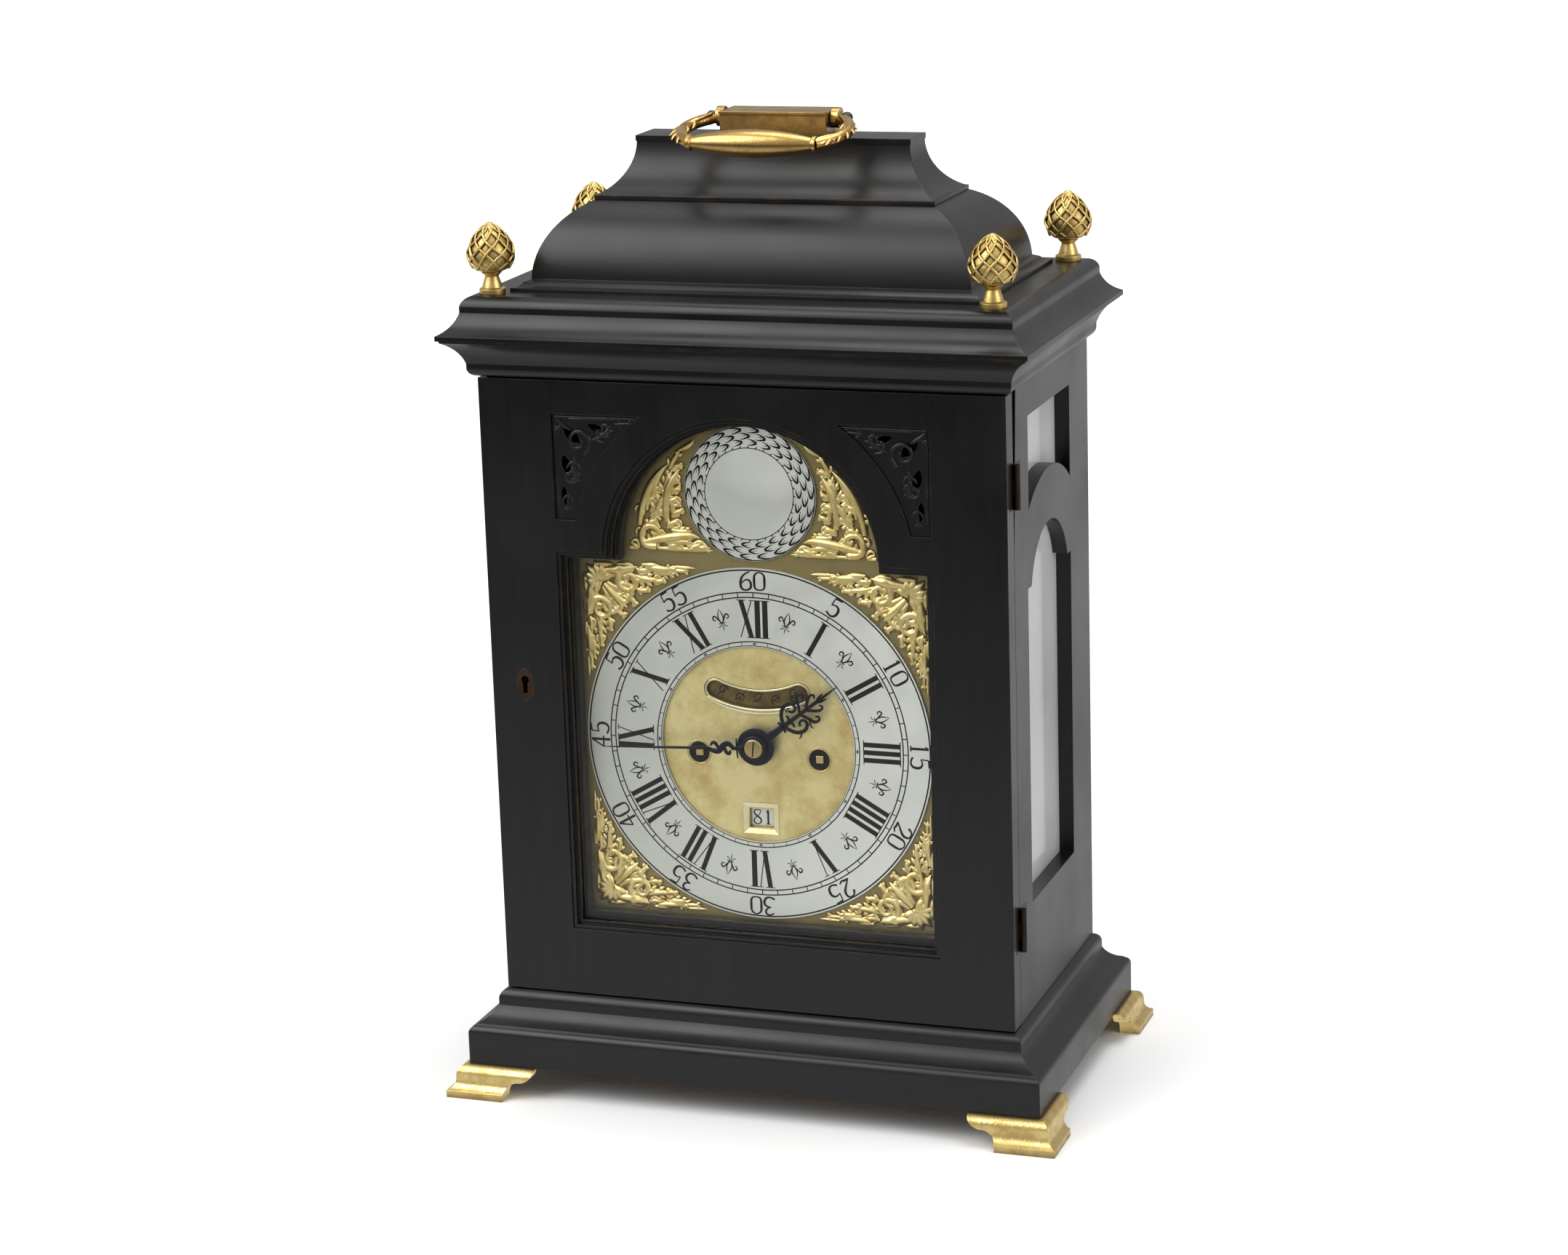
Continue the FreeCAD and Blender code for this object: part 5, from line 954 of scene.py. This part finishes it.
def fuller(strokes):
    """The strokes at the width of real casting work, which fills more than it leaves open."""
    return [[(x, z, w * 1.6) for x, z, w in path] for path in strokes]


def mirrored(strokes):
    """The strokes, and the same again with across and up exchanged."""
    return strokes + [[(z, x, w) for x, z, w in path] for path in strokes]


side_work = []
side_work += volute(-23.0, -9.0, 6.0, 60, -1.35, 1.15)
side_work += volute(-13.5, -20.5, 4.4, 200, 1.2, 0.95)
side_work += [vein(-10.5, -4.6, 178, 17, -14, 1.5, 7), vein(-31, -2.2, 186, 14, -8, 1.0, 6)]
side_work += leaf(-14, -7.5, 152, 12, 32, 0.85)
side_work += leaf(-26, -6.5, 200, 13, -34, 0.8)
side_work += leaf(-20.5, -14.6, 215, 9.5, 35, 0.75, 2)
side_work += leaf(-35, -3.6, 196, 11, -26, 0.7)
side_work += leaf(-43.5, -2.9, 188, 9, -16, 0.55, 2)
side_work += [vein(-44, -1.6, 181, 11.5, 0, 0.55), vein(-29.5, -1.3, 178, 9, 6, 0.8)]
side_work += [vein(-17.5, -1.7, 175, 8, 10, 0.8), vein(-10, -12.5, 232, 8.5, 40, 0.9)]
side_work += [vein(-6.5, -1.9, 180, 9, 0, 0.9)]
shell_eye = -9.6
shell = []
for i in range(-4, 5):
    shell.append(vein(shell_eye, shell_eye, 45 + 24 * i, 10.6 - 0.7425 * abs(i), 5 * i, 1.25))
shell.append([(shell_eye - 0.1, shell_eye, 1.4), (shell_eye, shell_eye, 2.0),
              (shell_eye + 0.1, shell_eye, 1.4)])
middle = [vein(-11, -11, 225, 15.5, 0, 1.35, 8)]
for i in range(3):
    reach = 13.0 + 3.0 * i
    for side in (-1, 1):
        middle.append(vein(-reach, -reach, 225 + 55 * side, 6.2 - 1.3 * i, -50 * side, 0.85))
for row in range(6):
    for i in range(11):
        x, z = -3.4 - 5.2 * i - 2.4 * (row % 2), -3.2 - 4.7 * row
        inside_ring = math.hypot(x + half_dial, z + half_dial) < ring_clear
        in_shell = math.hypot(x - shell_eye, z - shell_eye) < shell_clear
        if inside_ring or in_shell or z < x - 1:
            continue
        if (i + row) % 2:
            side_work += leaf(x + 2.6, z, 204, 7.2, -64, 0.74, 2)
        else:
            side_work += volute(x + 0.6, z + 0.4, 2.9, 90 * i + 60, -1.25, 0.6)
            side_work.append(vein(x + 3.0, z + 1.6, -150, 5.5, -60, 0.62))
corner_strokes = [[(x + half_dial, z + half_dial + dial_height, w) for x, z, w in path]
                  for path in fuller(mirrored(side_work) + shell + middle)]


def kept_outside(strokes, radius, centre):
    """Moves points that would reach over a round piece out to its edge."""
    kept = []
    for path in strokes:
        moved = []
        for x, z, w in path:
            out = math.hypot(x, z - centre)
            push = max((radius + w * 0.8) / out, 1.0)
            moved.append((x * push, centre + (z - centre) * push, w))
        kept.append(moved)
    return kept


def kept_inside_square(strokes, half_width, centre):
    """Moves points that would reach over the edge of the plate back inside it."""
    kept = []
    for path in strokes:
        moved = []
        for x, z, w in path:
            room = half_width - w
            moved.append((max(min(x, room), -room), max(min(z, centre + room), centre - room), w))
        kept.append(moved)
    return kept


def casting(name, strokes):
    return stroke_piece(name, strokes, casting_depth, 0.85, casting_gilt, "gilt_brass", "case",
                        limits=(13.3, 15.7), sides=2)


corner_strokes = kept_outside(corner_strokes, ring_gap, dial_height)
corner = casting("corner_casting_1", kept_inside_square(corner_strokes, half_dial, dial_height))
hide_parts("corner_castings")
for i in range(1, 4):
    quarter_turns = turned_about(0, casting_depth, dial_height, math.radians(90 * i))
    twin = copy_of(corner, quarter_turns, f"corner_casting_{i + 1}", "case")
    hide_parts("corner_castings")
print(len(corner_strokes), "strokes in a corner,", len(corner.data.polygons), "faces")

# %% [markdown]
# The two castings in the arch rise beside the boss like the wings of a bracket, wide and leafy at the foot
# and ending in a thin tip. The left one is the mirror of the right, drawn from mirrored points.

# %% Castings in the arch
arch_reach, arch_foot, leaf_reach = 59.6, 258.4, 57.6
boss_gap, boss_clear = 32.6, 34.8


def arch_side(side):
    work = volute(47.5, 265.5, 6.4, 250, 1.35, 1.2)
    work += [vein(52.5, 261.8, 165, 30, 14, 1.35, 8), vein(40, 272, 84, 27, 52, 1.3, 8)]
    work += [vein(53.4, 270, 98, 34, 46, 1.25, 9)]
    work += leaf(41, 262.6, 172, 14, 22, 0.9)
    work += leaf(46, 274, 112, 15, 26, 0.95)
    work += leaf(40.6, 284, 96, 13, 30, 0.8)
    work += leaf(38, 296, 112, 11, 22, 0.7, 2)
    work += leaf(38, 268.5, 196, 10, -34, 0.8)
    work += leaf(30, 260.4, 176, 11, 4, 0.65, 2)
    work += volute(41.5, 277.5, 3.4, 20, 1.1, 0.8)
    work += [vein(34, 306, 132, 10, 14, 0.8), vein(44, 259.6, 180, 26, 0, 0.75, 7)]
    work += [vein(47, 282, 100, 16, 34, 0.95), vein(36, 274, 70, 10, 44, 0.8)]
    work += [vein(49.5, 277, 94, 14, 30, 0.9)]
    for row in range(11):
        for i in range(9):
            x, z = 14.0 + 5.2 * i + 2.6 * (row % 2), 261.2 + 5.2 * row
            near_edge = math.hypot(x, z - arch_height) > leaf_reach
            near_boss = math.hypot(x, z - boss_height) < boss_clear
            if near_edge or near_boss or (x < 20 and row > 1):
                continue
            if (i + row) % 2:
                work += leaf(x, z - 2.4, 130, 7.4, 62, 0.76, 2)
            else:
                work += volute(x + 0.6, z, 2.9, 80 * i + 40, -1.25, 0.6)
                work.append(vein(x - 1.6, z - 3.0, 60, 5.5, -60, 0.62))
    kept = []
    for path in kept_outside(fuller(work), boss_gap, boss_height):
        line = []
        for x, z, w in path:
            pull = min((arch_reach - w) / math.hypot(x, z - arch_height), 1.0)
            line.append((x * pull * side, max(arch_height + (z - arch_height) * pull, arch_foot + w), w))
        kept.append(line)
    return kept


for side, name in ((-1, "arch_casting_left"), (1, "arch_casting_right")):
    wing = casting(name, arch_side(side))
    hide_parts("arch_castings")
print("arch castings", len(wing.data.polygons), "faces each")

# %% [markdown]
# ## The hands
# Steel hands of this time were sawn and filed from sheet, then blued. The minute hand has a scroll near its
# hub and a long plain blade. The hour hand opens into a wide pierced head of curling leaves. Strokes suit
# them, with the section cut off flat at the front and back of the sheet.

# %% Minute hand
minute_angle, minute_depth = 267.0, 9.0
half_sheet = 0.4


def hand(name, paths, degrees, depth, eye_radius, eye_half, eye_press):
    """Joins the shape of a hand to its eye. Both are cut flat at the faces of the sheet."""
    sheet = (depth - half_sheet, depth + half_sheet)
    shape = stroke_piece("hand_shape", turned_to(paths, degrees), depth, 1.6, blued, None, None,
                         limits=sheet, sides=2)
    eye = stroke_piece("hand_eye", [ring_stroke(eye_radius, eye_half, count=48)], depth, eye_press, blued,
                       None, None, limits=sheet, sides=2, closed=True)
    return joined(name, [shape, eye])


minute_paths = [[(0, 4.5, 1.5), (0, 7.5, 1.05), (0, 10.8, 0.85)],
                [(-4.6, 8.1, 0.28), (0, 8.4, 0.55), (4.6, 8.1, 0.28)],
                [(0, 10.0, 1.0), (2.6, 11.6, 1.25), (1.5, 14.8, 1.4), (-1.7, 16.8, 1.4), (-1.3, 19.8, 1.2),
                 (0, 22.6, 0.8)],
                [(0.4, 14.2, 0.8), (-2.5, 13.6, 1.0), (-2.6, 11.4, 0.85), (-1.0, 11.6, 0.5)],
                [(0.2, 17.2, 0.8), (2.6, 18.0, 0.95), (2.6, 20.4, 0.75), (1.1, 20.6, 0.45)],
                [(0, 21.6, 0.8), (0, 36, 0.62), (0, 56, 0.5), (0, 73, 0.2)]]
minute_new = hand("minute_hand_work", minute_paths, minute_angle, minute_depth, 4.0, 1.8, 0.6)
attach(minute_new, "minute_hand")
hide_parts("minute_hand")
print("minute hand", len(minute_new.data.polygons), "faces")

# %% [markdown]
# The hour hand is set at its own angle, which is where it stood when the photograph was taken. Its head is
# the same on both sides, so one half is drawn and mirrored.

# %% Hour hand
hour_angle, hour_depth = 52.2, 11.3
hour_paths = [[(0, 8, 2.0), (0, 12, 1.7), (0, 17.5, 1.35)],
              [(0, 16.5, 1.2), (0, 28, 0.8), (0, 40, 0.95), (0, 49.6, 0.2)],
              [(-2.9, 16.3, 0.5), (0, 17.0, 0.8), (2.9, 16.3, 0.5)]]
half_head = [[(0, 17.4, 1.0), (3.4, 18.6, 0.9), (6.6, 21.4, 0.95), (7.4, 25.2, 0.9), (5.2, 28.0, 0.85),
              (2.6, 27.0, 0.7), (2.7, 24.4, 0.6), (4.4, 24.0, 0.7)],
             [(0.4, 27.4, 0.7), (3.6, 29.6, 0.85), (6.8, 30.4, 0.8), (7.6, 33.4, 0.6), (5.8, 34.4, 0.55),
              (5.0, 32.8, 0.5)],
             [(0.2, 31.0, 0.7), (2.6, 33.8, 0.8), (4.4, 37.0, 0.7), (3.0, 39.0, 0.5), (1.9, 37.6, 0.4)],
             [(0.2, 38.0, 0.8), (1.6, 40.2, 0.6), (1.3, 42.4, 0.3)],
             [(0.3, 21.0, 0.7), (1.8, 22.2, 0.6), (3.2, 21.4, 0.55)],
             [(6.8, 22.6, 0.6), (9.0, 21.4, 0.4), (8.6, 19.8, 0.2)],
             [(4.6, 29.6, 0.5), (7.2, 27.6, 0.4), (8.8, 28.6, 0.15)]]
for side in (-1, 1):
    hour_paths += [[(across * side, out, w) for across, out, w in path] for path in half_head]
hour_new = hand("hour_hand_work", hour_paths, hour_angle, hour_depth, 6.1, 2.7, 0.5)
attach(hour_new, "hour_hand")
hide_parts("hour_hand")
print("hour hand", len(hour_new.data.polygons), "faces")

# %% [markdown]
# A domed brass collet holds the minute hand. It is a turned washer whose front edge is rounded, with a slot
# for the pin across it, drawn as a dark stroke of painted shade.

# %% Collet
polished_brass = brass("polished brass", (0.98, 0.9, 0.58, 1), (0.9, 0.78, 0.42, 1), (0.5, 0.38, 0.16, 1),
                       rough=(0.16, 0.3))
collet_depth, collet_face = 8.1, 7.62
bpy.ops.mesh.primitive_cylinder_add(vertices=64, radius=4.3 * mm, depth=1.0 * mm,
                                    location=place(0, collet_depth, dial_height),
                                    rotation=(math.radians(90), 0, 0))
collet = settle(bpy.context.object)
collet.name = "slotted_collet"
rounding = collet.modifiers.new("rounding", "BEVEL")
rounding.width = 0.4 * mm
rounding.segments = 4
rounding.limit_method = "ANGLE"
bpy.ops.object.modifier_apply(modifier="rounding")
dress(collet, polished_brass, "minute_hand", 40)
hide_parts("hand_collet")
# Painted shade: the slot is a dark stroke across the collet's face.
stroke_piece("collet_slot", [[at_angle(-3.6, 6, 0.42), at_angle(3.6, 6, 0.42)]], collet_face, 0.12,
             black_wax_and_shade, "brass", "minute_hand")
print("collet", len(collet.data.polygons), "faces")

# %% [markdown]
# ## Openings in the dial
# Polished bevels catch the light round the pendulum slot and the date window, and turned rings line the
# winding holes. The false bob's slot has a broad bevel below and a narrow edge above. Its backing is darkened
# with painted shade of the recess, and a black ring inside each winding hole is painted shade of the cavity.

# %% Slot and winding holes
slot_middle, slot_radius, slot_half, slot_turn, end_turn = 240.78, 50, 4.6, 23.6, 5.27
edge_depth, bevel_depth, backing_depth, scroll_depth, shade_depth = 15.75, 15.7, 17.78, 17.72, 17.2
winding_across, winding_height = 28.8, 164.75


def slot_point(radius, degrees, half_width):
    angle = math.radians(degrees)
    return (radius * math.sin(angle), slot_middle - radius * math.cos(angle), half_width)


def slot_end(side):
    """The round end of the slot, on the right for 1 and on the left for -1."""
    points = []
    for step in range(20, 170, 20):
        angle = math.radians(step)
        points.append(slot_point(slot_radius + side * slot_half * math.cos(angle),
                                 side * (slot_turn + end_turn * math.sin(angle)), 0.5))
    return points


lower_edge = [slot_point(slot_radius + slot_half, slot_turn * (i / 12 - 1), 0.6) for i in range(25)]
upper_edge = [slot_point(slot_radius - slot_half, slot_turn * (1 - i / 12), 0.5) for i in range(25)]
stroke_piece("slot_edge", [lower_edge + slot_end(1) + upper_edge + slot_end(-1)], edge_depth, 0.6,
             polished_brass, "brass", "case", closed=True)
bevel = []
for i in range(17):
    along = i / 8 - 1
    bevel.append(slot_point(55.3, (slot_turn + 2.5) * along, 0.5 + 0.95 * (1 - abs(along) ** 4)))
stroke_piece("slot_bevel", [bevel], bevel_depth, 0.55, polished_brass, "brass", "case")
scrolls = []
for i in range(5):
    across, way = -17 + 8.5 * i, (-1) ** i
    middle_height = slot_middle - math.sqrt(slot_radius ** 2 - across ** 2)
    scrolls += volute(across, middle_height + 0.4 * way, 2.6, 200 * i, 1.1 * way, 0.3)
    scrolls.append(vein(across - 3, middle_height - 1.5, 20, 7, 50, 0.3))
# The backing of the slot is dark brass: partly tarnish, partly painted shade of the recess behind the plate.
recess_shaded_brass = brass("engraved brass darkened with painted shade", (0.2, 0.15, 0.055, 1), (0.1, 0.065, 0.025, 1), (0.03, 0.02, 0.008, 1),
                  rough=(0.35, 0.5), patch_scale=160.0)
backing = [slot_point(slot_radius, (slot_turn + 5) * (i / 12 - 1), 4.9) for i in range(25)]
stroke_piece("slot_backing", [backing], backing_depth, 0.01, recess_shaded_brass, "brass", "case")
stroke_piece("slot_scrolls", scrolls, scroll_depth, 0.2, black_wax_and_shade, "brass", "case", limits=(17.62, 17.8))


def winding_ring(side, radius, half_width):
    ring = []
    for i in range(36):
        angle = math.radians(10 * i)
        ring.append((side * winding_across + radius * math.cos(angle),
                     winding_height + radius * math.sin(angle), half_width))
    return ring


for side, name in ((-1, "left"), (1, "right")):
    stroke_piece(f"winding_rim_{name}", [winding_ring(side, 5.6, 0.32)], dial_face_depth, 0.6, plate_brass,
                 "brass", "case", closed=True)
    # Painted shade: a black ring inside each hole stands for the dark cavity behind it.
    stroke_piece(f"winding_shade_{name}", [winding_ring(side, 3.7, 1.75)], shade_depth, 0.1, black_wax_and_shade,
                 "dark_iron", "case", closed=True)
print("slot and winding holes edged")

# %% [markdown]
# The date window has four polished slopes, like a picture frame cut into the plate. A flat sheet is inset,
# its middle is pushed back and taken out, and what is left is the slopes.

# %% Date window
date_height, bevel_middle = 135.05, 15.5
bpy.ops.mesh.primitive_plane_add(size=1.0, location=place(0, bevel_middle, date_height),
                                 rotation=(math.radians(90), 0, 0))
window = bpy.context.object
window.name = "date_bevel"
window.scale = (17.2 * mm, 14.8 * mm, 1.0)
settle(window)
bpy.ops.object.mode_set(mode="EDIT")
bpy.ops.mesh.select_all(action="SELECT")
bpy.ops.mesh.inset(thickness=2.9 * mm)
bpy.ops.transform.translate(value=(0, 1.0 * mm, 0))
bpy.ops.mesh.delete(type="ONLY_FACE")
bpy.ops.mesh.select_all(action="SELECT")
bpy.ops.mesh.subdivide(number_cuts=2)
bpy.ops.object.mode_set(mode="OBJECT")
window.data.materials.append(polished_brass)
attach(window, "case")
print("date window", len(window.data.polygons), "faces")

# %% [markdown]
# ## Carving on the door
# Above the dial, two three-cornered panels of the door are carved in low relief with leaf scrolls, and
# ebonised like the rest. Only their edges catch the light. The scrolls are drawn for the right panel and
# mirrored for the left.

# %% Carved panels
panel_foot, panel_top, panel_side = 275.2, 321.2, 87.0
edge, edge_half, door_arch_radius, carving_depth = 86.9, 0.45, 77.0, 1.0
carving = volute(76, 310, 6.5, 240, -1.3, 1.0)
carving += volute(80.5, 294, 4.2, 100, 1.2, 0.8)
carving += volute(63, 316.5, 3.8, -10, -1.1, 0.75)
carving += leaf(78, 303, -82, 13, -22, 0.75)
carving += leaf(69, 311, 160, 12, -40, 0.75)
carving += leaf(82, 287, -92, 10, 12, 0.6, 2)
carving += leaf(58, 318.6, 174, 9, 8, 0.55, 2)
carving += leaf(84, 317, -35, 8, -40, 0.6, 2)
carving += [vein(86, 300, -88, 22, -4, 0.55), vein(80, 320.3, 178, 24, 2, 0.55)]
carving += [vein(86, 320, -138, 9, -20, 0.9)]
carving += [[(edge, panel_foot, edge_half), (edge, 298, edge_half), (edge, panel_top, edge_half)]]
carving += [[(edge, panel_top, edge_half), (68, panel_top, edge_half), (48, panel_top, edge_half)]]
for side, name in ((-1, "left"), (1, "right")):
    panel = [[(side * min(x, panel_side), min(max(z, panel_foot), panel_top), w) for x, z, w in path]
             for path in carving]
    stroke_piece(f"fret_carving_{name}", kept_outside(panel, door_arch_radius, arch_height), carving_depth,
                 0.8, long_wood, "ebonised_wood", "front_door", limits=(0.15, 1.3), sides=2)
print("carved panels done")

# %% [markdown]
# ## Ridged finials
# The bodies of the finials are chased with a slanting net of ridges, so each looks like a small pineapple. A
# ridge is a stroke in space that climbs the body as it goes round it. Ridges that climb to the left and to
# the right cross and make the diamonds. The net is modelled once, on the front left finial, and copied to the
# others.

# %% Strokes in space
def space_strokes(name, strokes, finish, body, steps=2):
    """A piece from strokes that keep their round section, placed in the frame's own directions."""
    drawn = swept(name, strokes, 1, steps)
    dress(drawn, finish, body, 60)
    return drawn


# %% [markdown]
# The outline of a finial's body is a list of heights over its foot with the reach out from its axis at each.
# A ridge takes one point from each entry and goes round by 17 degrees at every step, with a little wobble, as
# chasing by hand has. A plain ring closes the net at its foot.

# %% Net of ridges on the finials
finial_x, finial_y, finial_foot = 116.1, 63.0, 375.0
finial_outline = [(11.8, 8.3), (14.2, 9.9), (17.4, 10.7), (20.2, 10.4), (22.8, 9.3), (25.6, 7.6), (28.0, 5.6),
                  (30.0, 3.5), (31.4, 1.2)]


def on_finial(angle, reach, rise_by, half_width):
    """A point on the front left finial, from an angle about its axis and a height over its foot."""
    return (-finial_x + reach * math.cos(angle), -finial_y + reach * math.sin(angle), finial_foot + rise_by,
            half_width)


ridges = []
for family in (-1, 1):
    for i in range(9):
        path = []
        for step, (rise_by, reach) in enumerate(finial_outline):
            angle = math.radians(40 * i + family * 17 * step + 5 * math.sin(i * 2.3 + step))
            path.append(on_finial(angle, reach, rise_by, 0.74 * (1 - 0.05 * step)))
        ridges.append(path)
collar = [on_finial(math.radians(20 * i), 5.2, 10.7, 0.45) for i in range(19)]
net = space_strokes("finial_net_1", ridges + [collar], finial_gilt, "case")
for number, (x_side, y_side) in enumerate(((1, -1), (-1, 1), (1, 1)), start=2):
    moved = Matrix.Translation((finial_x * (x_side + 1) * mm, finial_y * (y_side + 1) * mm, 0))
    copy_of(net, moved, f"finial_net_{number}", "case")
print(len(ridges), "ridges on each finial,", len(net.data.polygons), "faces")

# %% [markdown]
# ## Leaves on the handle
# The arms of the handle are cast as curling leaves. Small lobes stand off both sides of each arm and lean
# towards the grip. They are worked out with the handle lying flat, then turned down about the pins with it.

# %% Leafy arms
pivot_height, droop = 447.2, math.radians(10.4)


def arm_point(t, side):
    """A point on the middle of an arm: 0 is at the grip, 1 is at the pin."""
    ends = ((29.2, -38.5), (48.4, -24.8), (27.2, -1.0))
    weights = ((1 - t) ** 2, 2 * t * (1 - t), t ** 2)
    return (side * sum(weight * end[0] for weight, end in zip(weights, ends)),
            sum(weight * end[1] for weight, end in zip(weights, ends)))


def on_handle(x, y, z, half_width):
    return (x, y * math.cos(droop) - z * math.sin(droop),
            pivot_height + y * math.sin(droop) + z * math.cos(droop), half_width)


lobes = []
for side in (-1, 1):
    for i in range(6):
        t = 0.86 - 0.135 * i
        here, ahead = arm_point(t, side), arm_point(t - 0.13, side)
        along = Vector((ahead[0] - here[0], ahead[1] - here[1])).normalized()
        outward = Vector((-along.y, along.x)) * (1 if -along.y * side > 0 else -1)
        for way, reach in ((1, 4.3), (-1, 3.3)):
            if way < 0 and i in (0, 5):
                continue
            stand_off = outward * way * reach
            middle = Vector(here) + along * 2 + stand_off * 0.7
            tip = Vector(here) + along * 5.2 + stand_off
            lobes.append([on_handle(*here, 0.6, 1.6), on_handle(*middle, 0.9, 1.25),
                          on_handle(*tip, 0.1, 0.35)])
    lobes.append([on_handle(*arm_point(0.02 + 0.9 * k / 7, side), 1.9 + 0.5 * math.sin(k * 2.1), 1.05)
                  for k in range(8)])
space_strokes("handle_leaves", lobes, handle_brass, "carry_handle", steps=4)
print(len(lobes), "lobes on the arms")
